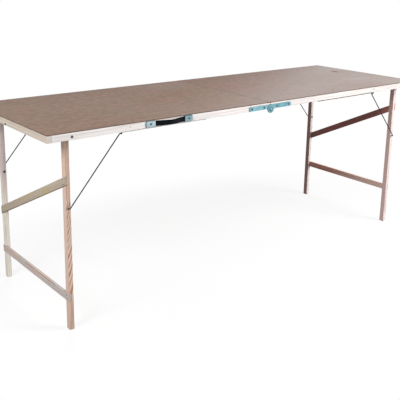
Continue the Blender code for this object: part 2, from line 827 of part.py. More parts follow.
def make_catch_pin(name, end_rail, side, below_top, parent):
    """A headed pin in the middle of an end rail, standing off it by the hook's thickness."""
    height = TABLE_HEIGHT - below_top
    middle = (across(FRONT, 0) + across(BACK, 0)) / 2
    standoff = SEAT_GAP + CATCH_METAL + RUNNING_GAP
    head = [
        (0, CATCH_HEAD_HEIGHT),
        (CATCH_HEAD_RADIUS, CATCH_HEAD_HEIGHT),
        (CATCH_HEAD_RADIUS, 0),
        (CATCH_PIN_RADIUS, 0),
    ]
    length = standoff + SCREW_DEPTH_IN_RAIL
    point = [(CATCH_PIN_RADIUS, -length + SCREW_POINT_LENGTH), (0, -length)]
    drill(
        end_rail,
        name,
        CATCH_PIN_RADIUS + SEAT_GAP,
        (along(side, -CUT_OVERRUN), middle, height),
        (along(side, SCREW_DEPTH_IN_RAIL + SEAT_GAP), middle, height),
    )
    new_turned(
        name, head + point, (along(side, -standoff), middle, height), (side, 0, 0), zinc, parent
    )


def make_catch_hook(parent):
    """A flat hook that hangs from its screw, notched to slip over the pin on the other end rail."""
    middle = (across(FRONT, 0) + across(BACK, 0)) / 2
    screw_height = TABLE_HEIGHT - CATCH_SCREW_BELOW_TOP
    pin_above_edge = TABLE_HEIGHT - CATCH_PIN_BELOW_TOP - RAIL_BOTTOM
    reach = screw_height - RAIL_BOTTOM + pin_above_edge
    place = (along(RIGHT, -SEAT_GAP - CATCH_METAL / 2), middle, screw_height)
    turn = (math.pi / 2, 0, math.pi / 2)
    hook = new_plate(
        "catch_hook",
        slot_outline((0, 0), (0, -reach), CATCH_HALF_WIDTH),
        CATCH_METAL,
        place,
        turn,
        zinc,
        parent,
    )
    notch_radius = CATCH_PIN_RADIUS + RUNNING_GAP
    notch = new_plate(
        "catch_hook_notch",
        slot_outline((0, -reach), (-CATCH_HALF_WIDTH - CUT_OVERRUN, -reach), notch_radius),
        2 * CATCH_METAL,
        place,
        turn,
    )
    combine(hook, notch)
    inside, outside = along(RIGHT, CUT_OVERRUN), along(RIGHT, -CATCH_METAL - CUT_OVERRUN)
    drill(
        hook,
        "catch_hook_screw",
        notch_radius,
        (inside, middle, screw_height),
        (outside, middle, screw_height),
    )


def build_table():
    table = new_empty("pasting_table", (0, 0, 0))
    halves = {
        LEFT: new_empty("left_half", (0, 0, RAIL_BOTTOM), table),
        RIGHT: new_empty("right_half", (0, 0, RAIL_BOTTOM), table),
    }
    long_rails, end_rails = {}, {}
    for side in (LEFT, RIGHT):
        half, name = halves[side], SIDE_NAMES[side]
        make_board(side, half)
        end_rails[side] = make_cross_rail(f"{name}_end_rail", side, along(side, 0), half)
        center_face = side * (SECTION_GAP / 2 + RAIL_THICKNESS)
        make_cross_rail(f"{name}_centre_rail", side, center_face, half)
        frame_axis = new_empty(
            f"{name}_legs_axis", (along(side, PIVOT_FROM_END), DEPTH_SHIFT, PIVOT_HEIGHT), half
        )
        make_leg_frame(side, frame_axis)
        for row in (FRONT, BACK):
            long_rails[side, row] = make_long_rail(side, row, half)
            make_pivot(side, row, half)
            make_guide(side, row, half)
            make_stay(side, row, frame_axis)
    for row in (FRONT, BACK):
        leaves = make_hinge(row, halves[LEFT], halves[RIGHT])
        rails = {side: long_rails[side, row] for side in (LEFT, RIGHT)}
        add_hinge_screws(row, leaves, rails, halves)
    make_handle(long_rails[LEFT, FRONT], halves[LEFT])
    make_catch_pin("catch_pin", end_rails[LEFT], LEFT, CATCH_PIN_BELOW_TOP, halves[LEFT])
    make_catch_pin(
        "catch_hook_pin", end_rails[RIGHT], RIGHT, CATCH_SCREW_BELOW_TOP, halves[RIGHT]
    )
    make_catch_hook(halves[RIGHT])


clear_scene()
parts = new_collection("pasting_table")
cutters = new_collection("cutters")
hardboard = new_material("hardboard", (0.33, 0.24, 0.20), 0.55, 0.0)
rail_timber = new_material("rail_timber", (0.80, 0.70, 0.56), 0.60, 0.0)
leg_timber = new_material("leg_timber", (0.68, 0.44, 0.31), 0.60, 0.0)
zinc = new_material("zinc_plate", (0.50, 0.58, 0.60), 0.35, 1.0)
steel_wire = new_material("steel_wire", (0.28, 0.28, 0.29), 0.40, 1.0)
strap_plastic = new_material("strap_plastic", (0.015, 0.016, 0.018), 0.45, 0.0)
build_table()
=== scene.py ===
# Folding pasting table: timber, hardboard, zinc and wire finishes, with the small ironmongery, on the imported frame
from math import acos, atan2, copysign, cos, exp, hypot, pi, radians, sin, sqrt

import bmesh
import bpy
from mathutils import Matrix, Vector


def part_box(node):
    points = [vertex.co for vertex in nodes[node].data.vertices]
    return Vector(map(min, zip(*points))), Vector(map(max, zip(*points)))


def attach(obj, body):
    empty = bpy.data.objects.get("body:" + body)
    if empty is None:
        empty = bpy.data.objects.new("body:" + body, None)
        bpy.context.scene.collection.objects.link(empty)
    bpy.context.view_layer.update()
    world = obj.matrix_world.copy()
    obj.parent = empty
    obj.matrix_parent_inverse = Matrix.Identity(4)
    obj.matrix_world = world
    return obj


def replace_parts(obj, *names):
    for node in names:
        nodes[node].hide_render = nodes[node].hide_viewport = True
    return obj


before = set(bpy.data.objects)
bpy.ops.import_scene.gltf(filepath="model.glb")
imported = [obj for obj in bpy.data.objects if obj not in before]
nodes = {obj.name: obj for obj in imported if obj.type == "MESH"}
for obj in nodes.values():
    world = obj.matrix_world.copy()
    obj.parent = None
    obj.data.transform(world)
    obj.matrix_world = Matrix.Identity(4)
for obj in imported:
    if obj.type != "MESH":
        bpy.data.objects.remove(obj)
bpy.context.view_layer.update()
collection = bpy.context.scene.collection
print("frame loaded:", len(nodes), "nodes")

table = {
    "length": 1.830, "boardTop": 0.675, "railBottom": 0.6492, "railThickness": 0.016, "frontFace": -0.28715,
    "backFace": 0.29785, "sectionGap": 0.001,
}
endX = table["length"] / 2
sides = {"left": -1, "right": 1}
rows = {"front": -1, "back": 1}


def faceOf(row, out):
    # y of the outer face of the front or back rail, out metres outside it
    face = table["frontFace"] if row < 0 else table["backFace"]
    return face + row * out


# small tools for materials


def srgb(tone):
    # a colour as the eye reads it, turned into the linear one that the shader takes
    levels = [value / 255 for value in tone]
    linear = [v / 12.92 if v <= 0.04045 else ((v + 0.055) / 1.055) ** 2.4 for v in levels]
    return (*linear, 1.0)


class Wire:
    # one output of a node; arithmetic on it adds the node that does the sum

    def __init__(self, socket):
        self.socket = socket

    def __getitem__(self, output):
        return Wire(self.socket.node.outputs[output])

    def __add__(self, other):
        return calc("ADD", self, other)

    def __sub__(self, other):
        return calc("SUBTRACT", self, other)

    def __mul__(self, other):
        return calc("MULTIPLY", self, other)

    def __truediv__(self, other):
        return calc("DIVIDE", self, other)

    def __abs__(self):
        return calc("ABSOLUTE", self)


def addNode(kind, sockets, tree=None, **settings):
    # without a tree, the node joins the wires that go into it; it gives its first output
    tree = tree or next(value.socket.id_data for value in sockets.values() if isinstance(value, Wire))
    node = tree.nodes.new(f"ShaderNode{kind}")
    for key, value in settings.items():
        setattr(node, key, value)
    for socket, value in sockets.items():
        if isinstance(value, Wire):
            tree.links.new(value.socket, node.inputs[socket])
        else:
            node.inputs[socket].default_value = value
    return Wire(node.outputs[0]) if node.outputs else None


def calc(operation, *values):
    return addNode("Math", dict(enumerate(values)), operation=operation)


def chain(operation, first, *others):
    for other in others:
        first = calc(operation, first, other)
    return first


def squares(first, second):
    return first * first + second * second


def ellipse(spot, centre, halves):
    # 1 on an ellipse round centre, less inside it and more outside
    return squares(*((value - middle) / half for value, middle, half in zip(spot, centre, halves)))


def spread(value, low, high, toLow=0.0, toHigh=1.0):
    # carries low..high over to toLow..toHigh with soft ends
    sockets = {0: value, 1: low, 2: high, 3: toLow, 4: toHigh}
    return addNode("MapRange", sockets, interpolation_type="SMOOTHSTEP")


def vary(value, toLow, toHigh):
    # carries the usual reach of a noise over to toLow..toHigh
    return spread(value, 0.3, 0.7, toLow, toHigh)


def mix(share, first, second, mode="MIX"):
    return addNode("Mix", {0: share, 6: first, 7: second}, data_type="RGBA", blend_type=mode)[2]


def shaded(color, shade):
    gray = addNode("CombineColor", {0: shade, 1: shade, 2: shade})
    return mix(1.0, color, gray, "MULTIPLY")


def parts(vector):
    return addNode("SeparateXYZ", {0: vector})


def stretched(vector, factors):
    return addNode("VectorMath", {0: vector, 1: factors}, operation="MULTIPLY")


def noise(vector, seed, stretch=None, scale=1.0, detail=2.0, roughness=0.5, step=0):
    # step keeps the noises of one finish apart
    if stretch:
        vector = stretched(vector, stretch)
    sockets = {"Vector": vector, "W": seed + step, "Scale": scale, "Detail": detail, "Roughness": roughness}
    return addNode("TexNoise", sockets, noise_dimensions="4D")


def seenRays(tree):
    # 1 for what the camera sees, also in a reflection, and 0 for what only lights the object
    rays = addNode("LightPath", {}, tree)
    return calc("MAXIMUM", rays["Is Camera Ray"], calc("MAXIMUM", rays["Is Glossy Ray"], rays["Is Transmission Ray"]))


def newFinish(name):
    # a material, and the coordinates on the thing that it is on
    finish = bpy.data.materials.new(name)
    finish.use_nodes = True
    finish.node_tree.nodes.clear()
    return finish, addNode("TexCoord", {}, finish.node_tree)


def surface(color, roughness, height, bump, others):
    # the shader; bump is the relief's depth in metres and its strength
    relief = addNode("Bump", {"Height": height, "Distance": bump[0], "Strength": bump[1]})
    sockets = {"Base Color": color, "Roughness": roughness, "Normal": relief, **others}
    addNode("OutputMaterial", {"Surface": addNode("BsdfPrincipled", sockets)})


def dress(mesh, finish):
    mesh.materials.clear()
    mesh.materials.append(finish)


# timber: growth rings round a pith line, so that faces, edges and ends agree

timberNoises = {
    "waver": {"stretch": (7.0, 7.0, 2.2)},
    "fibres": {"stretch": (1400.0, 1400.0, 22.0), "detail": 3.0, "roughness": 0.6, "step": 3},
    "streaks": {"stretch": (260.0, 260.0, 5.0), "step": 5},
    "blotches": {"stretch": (9.0, 9.0, 3.0), "detail": 3.0, "step": 9},
    "patches": {"stretch": (45.0, 45.0, 11.0), "detail": 3.0, "step": 12},
}
timberGrain = {
    "lateWood": (0.25, 0.86), "ringEdge": (1.0, 0.93), "yearTones": (0.45, 1.0), "fibreTones": (0.92, 1.04),
    "streakTones": (0.064, -0.08), "blotchTones": (0.90, 1.0), "endTones": (1.0, 0.93), "endTint": 0.75,
    "knotLength": 1.6, "knotSwell": 0.9, "knotTint": 0.85, "driftTints": (0.35, 0.85), "sideTint": 0.8,
    "sideWander": 0.0006, "sideBlur": (0.0008, -0.0006), "patchTint": 0.65, "resinTint": 0.85,
    "resinWidth": (0.0014, 0.0006), "resinBlur": (-0.03, 0.01), "roughness": (0.66, 0.52),
    "fibreRoughness": (-0.05, 0.07), "specular": 0.35, "bump": (0.00025, 0.55),
}


def timberFinish(name, box, look):
    grain, (finish, spot) = timberGrain, newFinish(name)
    place, centre = spot["Object"], (box[0] + box[1]) / 2
    order = {"x": (1, 2, 0), "y": (0, 2, 1), "z": (0, 1, 2)}[look["grain"]]
    if look["tilt"]:  # a sloping slat is sawn along its own length
        sockets = {"Vector": place, "Center": tuple(centre), "Angle": look["tilt"]}
        place = addNode("VectorRotate", sockets, rotation_type="X_AXIS")
    split = parts(place)
    u, v, along = (split[axis] - centre[axis] for axis in order)
    plank = addNode("CombineXYZ", {0: u, 1: v, 2: along})

    def layer(key):
        return noise(plank, look["seed"], **timberNoises[key])

    waver = addNode("SeparateColor", {0: layer("waver")["Color"]})
    swayDepth, swayRate = look["sway"]
    offsets = []
    for axis, across in enumerate((u, v)):
        shift = (waver[axis] - 0.5) * look["waver"]
        if axis == 1:  # the slow bend of the stem
            shift += calc("SINE", along * swayRate) * swayDepth
        shift += along * look["lean"][axis]
        offsets.append(across - look["pith"][axis] + shift)
    reach = calc("SQRT", squares(*offsets))

    cores = []
    for knotAlong, knotAcross, size in look["knots"]:  # the rings part round each knot
        square = ellipse((u, along), (knotAcross, knotAlong), (size, size * grain["knotLength"]))
        reach += calc("EXPONENT", square * -0.5) * (size * grain["knotSwell"])
        cores.append(spread(square, 0.55, 0.15))

    count = reach / look["ring"]
    turn = calc("FRACT", count)
    year = addNode("TexWhiteNoise", {"W": calc("FLOOR", count)}, noise_dimensions="1D")
    band = spread(turn, *grain["lateWood"]) * spread(turn, *grain["ringEdge"])
    band *= spread(year, 0.0, 1.0, *grain["yearTones"])
    color = mix(band, srgb(look["early"]), srgb(look["late"]))

    fibres, streaks = layer("fibres"), layer("streaks")
    tone = spread(fibres, 0.25, 0.75, *grain["fibreTones"]) + spread(streaks, 0.3, 0.75, *grain["streakTones"])
    tone *= vary(layer("blotches"), *grain["blotchTones"])
    endFace = spread(abs(parts(spot["Normal"])[order[2]]), 0.5, 0.9)
    color = mix(endFace * grain["endTint"], color, srgb(look.get("end", look["early"])))
    color = shaded(color, tone * spread(endFace, 0.0, 1.0, *grain["endTones"]))
    for core in cores:
        color = mix(core * grain["knotTint"], color, srgb(look["knot"]))
    if "drift" in look:  # the colour changes towards one end: the wood's own colour on the left front leg, painted shade on the right front rail, the left back leg, the right stretcher and the right brace
        start, end, driftTone = look["drift"]
        drift = spread(along, start, end) * spread(streaks, 0.32, 0.62, *grain["driftTints"])
        color = mix(drift, color, srgb(driftTone))
    if "sideTone" in look:  # a band of another colour along one side: painted shade on the right legs' inner faces, a paler face on the left front leg, a dark line along the left brace's lower edge
        across, edge, edgeTone = look["sideTone"]
        wander = (u if across == "u" else v) + vary(streaks, -grain["sideWander"], grain["sideWander"])
        outside, inside = (edge + blur for blur in grain["sideBlur"])
        color = mix(spread(wander, outside, inside, 0.0, grain["sideTint"]), color, srgb(edgeTone))
    if "patches" in look:  # weathered patches
        patch = spread(layer("patches"), 0.46, 0.64, 0.0, grain["patchTint"])
        color = mix(patch, color, srgb(look["patches"]))
    if "resinLine" in look:
        lineAt, start, end, lineTone = look["resinLine"]
        before, after = grain["resinBlur"]
        length = spread(along, start + before, start + after) * spread(along, end - before, end - after)
        line = spread(abs(v - lineAt), *grain["resinWidth"]) * length
        color = mix(line * grain["resinTint"], color, srgb(lineTone))
    roughness = spread(band, 0.0, 1.0, *grain["roughness"]) + vary(fibres, *grain["fibreRoughness"])
    surface(color, roughness, band * 0.5 + fibres, grain["bump"], {"Specular IOR Level": grain["specular"]})
    return finish


# sizes in metres from the middle of a piece; the tone and shade drift and resinLine run along the grain
braceRise, braceRun = 0.233, 0.490
braceTilt = atan2(braceRise, braceRun)
timberBasics = {
    "early": (242, 233, 226), "late": (228, 213, 200), "knot": (140, 102, 78), "knots": (),
    "ring": 0.0032, "lean": (0.008, 0.008), "waver": 0.012, "sway": (0.0, 1.0), "tilt": 0.0,
}
timberLooks = {
    "left_front_rail": {
        "grain": "x", "pith": (-0.030, 0.012), "seed": 2.0, "early": (253, 249, 247), "late": (236, 223, 219),
        "knots": ((-0.055, 0.003, 0.0035),),
    },
    # its tones sit a little below the left rail's and grow darker towards the right end: painted shade that evens out
    # the nearest lamp
    "right_front_rail": {
        "grain": "x", "pith": (0.024, -0.020), "seed": 4.1, "early": (241, 236, 234), "late": (231, 221, 214),
        "drift": (-0.10, 0.14, (206, 199, 195)),
    },
    "left_back_rail": {"grain": "x", "pith": (0.035, 0.010), "seed": 6.3, "late": (222, 203, 184)},
    "right_back_rail": {"grain": "x", "pith": (-0.028, -0.015), "seed": 8.7, "knots": ((0.14, -0.003, 0.004),)},
    "left_end_rail": {
        "grain": "y", "pith": (-0.040, 0.006), "seed": 11.2, "early": (217, 205, 192), "late": (200, 185, 168),
        "end": (246, 234, 230),
    },
    "right_end_rail": {
        "grain": "y", "pith": (0.033, -0.012), "seed": 13.9, "early": (236, 225, 211), "late": (216, 199, 180),
    },
    "left_centre_rail": {"grain": "y", "pith": (0.026, 0.018), "seed": 15.4},
    "right_centre_rail": {"grain": "y", "pith": (-0.031, 0.009), "seed": 17.8},
    "left_front_leg": {
        "grain": "z", "pith": (-0.017, 0.030), "seed": 20.3, "early": (234, 212, 194), "late": (176, 97, 66),
        "ring": 0.0036, "lean": (0.012, 0.060), "sway": (0.012, 7.5), "waver": 0.020,
        "drift": (-0.150, -0.240, (190, 146, 128)), "sideTone": ("u", -0.0066, (218, 192, 176)),
    },
    # darker towards its top, under the rail: painted shade
    "left_back_leg": {
        "grain": "z", "pith": (0.022, 0.034), "seed": 23.5, "early": (248, 242, 232), "late": (230, 217, 203),
        "lean": (0.010, 0.020), "drift": (-0.040, 0.130, (196, 173, 173)),
    },
    # its inner (-X) face is darker and redder: painted shade
    "right_front_leg": {
        "grain": "z", "pith": (0.010, 0.034), "seed": 26.1, "early": (237, 223, 218), "late": (216, 187, 181),
        "ring": 0.0038, "lean": (-0.020, 0.025), "sideTone": ("u", -0.0066, (224, 190, 184)),
    },
    # its inner (-X) face is dark red-brown: painted shade
    "right_back_leg": {
        "grain": "z", "pith": (-0.024, 0.020), "seed": 29.6, "early": (254, 245, 240), "late": (245, 228, 220),
        "ring": 0.0040, "lean": (0.016, 0.020), "sideTone": ("u", -0.0066, (153, 99, 89)),
    },
    "left_lower_stretcher": {
        "grain": "y", "pith": (0.020, 0.030), "seed": 32.4, "early": (213, 203, 198), "late": (186, 170, 162),
        "lean": (0.020, 0.010), "patches": (206, 178, 164), "resinLine": (0.0104, -0.160, 0.050, (78, 54, 48)),
    },
    "left_diagonal_brace": {
        "grain": "y", "pith": (0.024, -0.032), "seed": 35.2, "early": (193, 181, 164), "late": (156, 137, 115),
        "ring": 0.0036, "lean": (0.016, 0.022), "sway": (0.005, 11.0), "tilt": braceTilt,
        "patches": (186, 166, 122), "sideTone": ("v", -0.0114, (112, 82, 70)),
    },
    # darker and redder towards the back: painted shade
    "right_lower_stretcher": {
        "grain": "y", "pith": (-0.022, 0.028), "seed": 38.8, "early": (246, 216, 203), "late": (208, 164, 147),
        "end": (232, 216, 208), "lean": (0.018, 0.012), "drift": (-0.120, 0.140, (196, 122, 104)),
    },
    # the dark red-brown tones are partly the wood's colour and partly painted shade, which eases towards the front end
    "right_diagonal_brace": {
        "grain": "y", "pith": (-0.026, -0.030), "seed": 41.3, "early": (171, 110, 105), "late": (131, 73, 69),
        "end": (228, 210, 203), "lean": (0.020, 0.014), "tilt": braceTilt,
        "drift": (-0.150, -0.230, (206, 142, 132)),
    },
}

for nodeName, look in timberLooks.items():
    finish = timberFinish(f"{nodeName}_timber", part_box(nodeName), {**timberBasics, **look})
    dress(nodes[nodeName].data, finish)
print("timber finishes:", len(timberLooks))

# hardboard: smooth pressed face, fibrous dark edge, screen-marked back

stainsOnRight = (  # middle, half sizes and tone
    ((0.817, 0.096), (0.012, 0.024), (88, 40, 36)),
    ((0.403, -0.247), (0.0045, 0.010), (48, 38, 34)),
)
boardLooks = {
    "left_top_board": {"tone": (135, 112, 98), "warm": (139, 114, 97), "seed": 3.0, "stains": ()},
    "right_top_board": {"tone": (136, 111, 100), "warm": (140, 113, 99), "seed": 7.5, "stains": stainsOnRight},
}
boardNoises = {
    "cloud": {"stretch": (2.2, 5.0, 1.0), "detail": 4.0, "roughness": 0.55},
    "streaks": {"stretch": (3.0, 60.0, 1.0), "detail": 3.0, "step": 2},
    "flecks": {"scale": 520.0, "detail": 3.0, "roughness": 0.7, "step": 4},
    "strands": {"stretch": (170.0, 420.0, 200.0), "step": 6},
    "mottle": {"scale": 46.0, "detail": 3.0, "step": 8},
    "blush": {"stretch": (9.0, 14.0, 1.0), "detail": 3.0, "roughness": 0.6, "step": 12},
    "felting": {"stretch": (15.0, 26.0, 1.0), "roughness": 0.45, "step": 15},
}
boardShades = {  # the reach of each noise, and how bright the board is at its two ends
    "flecks": (0.3, 0.72, 0.84, 1.14),
    "strands": (0.35, 0.7, 1.07, 0.90),
    "streaks": (0.3, 0.7, 0.95, 1.04),
    "mottle": (0.3, 0.7, 0.83, 1.13),
    "felting": (0.32, 0.68, 0.955, 1.045),
}
# the worn edges and a painted shade along the back of the board share one dimming
boardDetail = {
    "blushTone": (148, 109, 98), "blush": (0.48, 0.72, 0.0, 0.6), "edgeTone": (112, 95, 88),
    "backTone": (142, 112, 86), "edgeWear": 0.007, "raggedEdge": 0.003, "backShade": 0.16, "wornShade": 0.93,
    "stainTint": 0.85, "stainRoughness": 0.6, "dull": 0.62, "polished": 0.27, "polishSlant": 1.6,
    "polish": (-0.30, 0.70), "polishCloud": 0.08, "edgeRoughness": 0.4, "screenPitch": 0.0014, "screenHeight": 1.5,
    "polishedFibres": 0.3, "specular": 0.42, "bump": (0.00007, 0.35),
}


def boardFinish(name, box, look):
    detail, (finish, spot) = boardDetail, newFinish(name)
    place = spot["Object"]
    noises = {key: noise(place, look["seed"], **row) for key, row in boardNoises.items()}
    flecks, strands, cloud = (noises[key] for key in ("flecks", "strands", "cloud"))
    color = mix(spread(cloud, 0.35, 0.7), srgb(look["tone"]), srgb(look["warm"]))
    color = mix(spread(noises["blush"], *detail["blush"]), color, srgb(detail["blushTone"]))
    shade = chain("MULTIPLY", *(spread(noises[key], *reach) for key, reach in boardShades.items()))

    split, backY = parts(place), box[1].y
    limits = [(axis, corner[axis]) for axis in (0, 1) for corner in box]
    limits = [(axis, at) for axis, at in limits if abs(at) > 2 * table["sectionGap"]]  # the seam is hardly worn
    toEdge = chain("MINIMUM", *(abs(split[axis] - at) for axis, at in limits))
    ragged = toEdge + vary(noises["mottle"], -detail["raggedEdge"], detail["raggedEdge"])
    shade *= spread(ragged, 0.0, detail["edgeWear"], detail["wornShade"], 1.0)
    # darker towards the back edge: painted shade
    shade *= spread(split[1], backY - detail["backShade"], backY, 1.0, detail["wornShade"])
    color = shaded(color, shade)
    stains = []
    for middle, halves, stainTone in look["stains"]:
        reach = calc("SQRT", ellipse((split[0], split[1]), middle, halves)) + vary(strands, -0.35, 0.35)
        stains.append(spread(reach, 1.15, 0.4, 0.0, detail["stainTint"]))
        color = mix(stains[-1], color, srgb(stainTone))

    upward = parts(spot["Normal"])[2]
    back = spread(upward, -0.6, -0.9)
    rim = calc("SUBTRACT", 1.0, spread(abs(upward), 0.35, 0.75))
    color = mix(back, color, srgb(detail["backTone"]))
    color = mix(rim, color, srgb(detail["edgeTone"]))

    # the face is rubbed smoother towards the right and the front
    slant = split[0] - split[1] * detail["polishSlant"]
    slant += vary(cloud, -detail["polishCloud"], detail["polishCloud"])
    roughness = vary(flecks, -0.05, 0.06) + vary(cloud, -0.05, 0.05)
    roughness += spread(slant, *detail["polish"], detail["dull"], detail["polished"])
    roughness += calc("MAXIMUM", back, rim) * detail["edgeRoughness"]
    if stains:
        roughness += chain("MAXIMUM", *stains) * detail["stainRoughness"]
    waves = 2 * pi / detail["screenPitch"]
    screen = calc("SINE", split[0] * waves) * calc("SINE", split[1] * waves) * back
    fibres = (flecks + strands * 0.5) * spread(slant, *detail["polish"], 1.0, detail["polishedFibres"])
    height = screen * detail["screenHeight"] + fibres
    surface(color, roughness, height, detail["bump"], {"Specular IOR Level": detail["specular"]})
    return finish


for nodeName, look in boardLooks.items():
    dress(nodes[nodeName].data, boardFinish(f"{nodeName}_hardboard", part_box(nodeName), look))
print("hardboard finishes:", len(boardLooks))

# metals and the strap's plastic

metalBasics = {"scale": 160.0, "metallic": 0.6}
metalLooks = {
    # edge is a darker tone on a plate's edges and a cap's ends: painted shade
    "zincPlate": {"tone": (126, 180, 194), "second": (150, 196, 204), "edge": (52, 84, 96), "rough": 0.36},
    "dullPlate": {"tone": (112, 168, 184), "second": (136, 188, 198), "edge": (44, 74, 86), "rough": 0.40},
    "brightCap": {"tone": (164, 190, 202), "second": (194, 212, 218), "edge": (74, 92, 100), "rough": 0.32},
    "dullCap": {"tone": (126, 160, 170), "second": (158, 184, 192), "edge": (60, 82, 92), "rough": 0.38},
    # the near-black rim under the hinge rivets is a painted shadow
    "shadowRimDark": {"tone": (26, 44, 58), "second": (40, 62, 78), "rough": 0.48, "scale": 240.0, "metallic": 0.3},
    "screwZinc": {"tone": (56, 92, 102), "second": (92, 128, 136), "rough": 0.36, "scale": 240.0},
    "boltZinc": {"tone": (66, 76, 80), "second": (96, 102, 104), "rough": 0.42},
    "nutZinc": {"tone": (138, 146, 148), "second": (164, 168, 166), "rough": 0.40},
    "brightWire": {"tone": (226, 227, 228), "second": (204, 206, 208), "rough": 0.36, "scale": 120.0, "metallic": 1.0},
    "drawnWire": {"tone": (78, 80, 84), "second": (54, 55, 58), "rough": 0.42, "scale": 120.0, "metallic": 0.9},
    "darkWire": {"tone": (27, 24, 25), "second": (18, 16, 17), "rough": 0.58, "scale": 120.0, "metallic": 0.3},
    "nailSteel": {"tone": (84, 82, 82), "second": (58, 54, 52), "rough": 0.50, "scale": 400.0},
}
metalGrain = {
    "cellScale": 4, "fineScale": 22, "dullScale": 0.35, "rubbing": (30.0, 900.0, 1500.0), "spangleTint": 0.30,
    "cloudTints": (0.0, 0.7), "dullTones": (0.89, 1.11), "rubbedTones": (0.92, 1.06),
    "cloudRoughness": (-0.07, 0.09), "spangleRoughness": 0.06, "dullRoughness": 0.10, "bump": (0.00006, 0.35),
}


def metalFinish(name, look):
    grain, (finish, spot) = metalGrain, newFinish(name)
    place, scale = spot["Object"], look["scale"]
    cells = addNode("TexVoronoi", {"Vector": place, "Scale": scale * grain["cellScale"]})["Color"]
    spangle = addNode("SeparateColor", {0: cells})
    cloud = noise(place, 1.0, scale=scale, detail=4.0, roughness=0.6)
    fine = noise(place, 2.0, scale=scale * grain["fineScale"])
    dull = noise(place, 3.0, scale=scale * grain["dullScale"], detail=4.0, roughness=0.6)
    rubbed = noise(place, 4.0, stretch=grain["rubbing"])
    share = spangle * grain["spangleTint"] + vary(cloud, *grain["cloudTints"])
    color = mix(share, srgb(look["tone"]), srgb(look["second"]))
    color = shaded(color, spread(dull, 0.35, 0.65, *grain["dullTones"]) * vary(rubbed, *grain["rubbedTones"]))
    if "edge" in look:  # faces turned away from front and back, a plate's edges and a cap's ends, are darker: painted shade
        facing = abs(parts(spot["Normal"])[1])
        color = mix(spread(facing, 0.80, 0.35), color, srgb(look["edge"]))
    roughness = vary(cloud, *(look["rough"] + change for change in grain["cloudRoughness"]))
    roughness += spangle * grain["spangleRoughness"]
    roughness += spread(dull, 0.65, 0.35, 0.0, grain["dullRoughness"])
    surface(color, roughness, fine + cloud, grain["bump"], {"Metallic": look["metallic"]})
    return finish


finishes = {name: metalFinish(name, {**metalBasics, **look}) for name, look in metalLooks.items()}

strapLook = {
    "tone": (4, 8, 12), "worn": (9, 14, 20), "rough": (0.38, 0.54), "grain": 900.0, "cloud": 60.0, "specular": 0.09,
    "bump": (0.00010, 0.6),
}


def strapFinish(name):
    finish, spot = newFinish(name)
    sockets = {"Vector": spot["Object"], "Scale": strapLook["grain"]}
    crease = spread(addNode("TexVoronoi", sockets, feature="DISTANCE_TO_EDGE"), 0.0, 0.12)
    cloud = noise(spot["Object"], 4.0, scale=strapLook["cloud"], detail=3.0)
    color = mix(crease * spread(cloud, 0.35, 0.7), srgb(strapLook["tone"]), srgb(strapLook["worn"]))
    roughness = vary(cloud, *strapLook["rough"])
    surface(color, roughness, crease, strapLook["bump"], {"Specular IOR Level": strapLook["specular"]})
    return finish


finishes["strapPlastic"] = strapFinish("strapPlastic")
print("metal and strap finishes made")

# small tools for meshes


def shaped(mesh, smoothDegrees=35):
    mesh.shade_smooth()
    mesh.set_sharp_from_angle(angle=radians(smoothDegrees))
    return mesh


def tidyMesh(mesh, smoothDegrees=35):
    bm = bmesh.new()
    bm.from_mesh(mesh)
    bmesh.ops.remove_doubles(bm, verts=bm.verts, dist=0.000002)
    bmesh.ops.recalc_face_normals(bm, faces=bm.faces)
    bm.to_mesh(mesh)
    bm.free()
    return shaped(mesh, smoothDegrees)


def loft(name, rings, capped=(True, True), loop=True):
    # skins rings of equally many points; capped says whether the first and the last one are closed
    count = len(rings[0])
    faces = []
    for i in range(len(rings) - 1):
        for j in range(count if loop else count - 1):
            k = (j + 1) % count
            faces.append((i * count + j, i * count + k, (i + 1) * count + k, (i + 1) * count + j))
    last = (len(rings) - 1) * count
    if capped[0]:
        faces.append(tuple(range(count)))
    if capped[1]:
        faces.append(tuple(last + j for j in range(count)))
    mesh = bpy.data.meshes.new(name)
    mesh.from_pydata([tuple(point) for ring in rings for point in ring], [], faces)
    return tidyMesh(mesh)


def ringAt(height, radii):
    # a level ring about Z, its radii evenly round the turn
    angles = [2 * pi * i / len(radii) for i in range(len(radii))]
    return [(radius * cos(a), radius * sin(a), height) for radius, a in zip(radii, angles)]


def turned(name, profile, steps=40):
    # a turned piece about Z, from (radius, height) pairs; an end of radius 0 closes on the axis
    rings = [ringAt(height, [radius] * steps) for radius, height in profile]
    return loft(name, rings, (profile[0][0] > 0, profile[-1][0] > 0))


def dome(radius, height, steps=8):
    # profile of a domed head, from its rim up to the axis
    rim = 0.0003
    angles = [pi / 2 * i / steps for i in range(steps + 1)]
    return [(radius * cos(a), rim + (height - rim) * sin(a)) for a in angles]


def placed(mesh, location, facing, spin=0.0):
    # turns a copy's local +Z to facing and moves it
    turn = Vector((0, 0, 1)).rotation_difference(Vector(facing)).to_matrix().to_4x4()
    copy = mesh.copy()
    copy.transform(Matrix.Translation(location) @ turn @ Matrix.Rotation(spin, 4, "Z"))
    return copy


def joined(name, meshes):
    bm = bmesh.new()
    for mesh in meshes:
        bm.from_mesh(mesh)
    result = bpy.data.meshes.new(name)
    bm.to_mesh(result)
    bm.free()
    return shaped(result)


def linked(name, data):
    thing = bpy.data.objects.new(name, data)
    collection.objects.link(thing)
    return thing


def settled(source):
    # the mesh that an object's modifiers or curve give
    bpy.context.view_layer.update()
    mesh = bpy.data.meshes.new_from_object(source.evaluated_get(bpy.context.evaluated_depsgraph_get()))
    bpy.data.objects.remove(source, do_unlink=True)
    return mesh


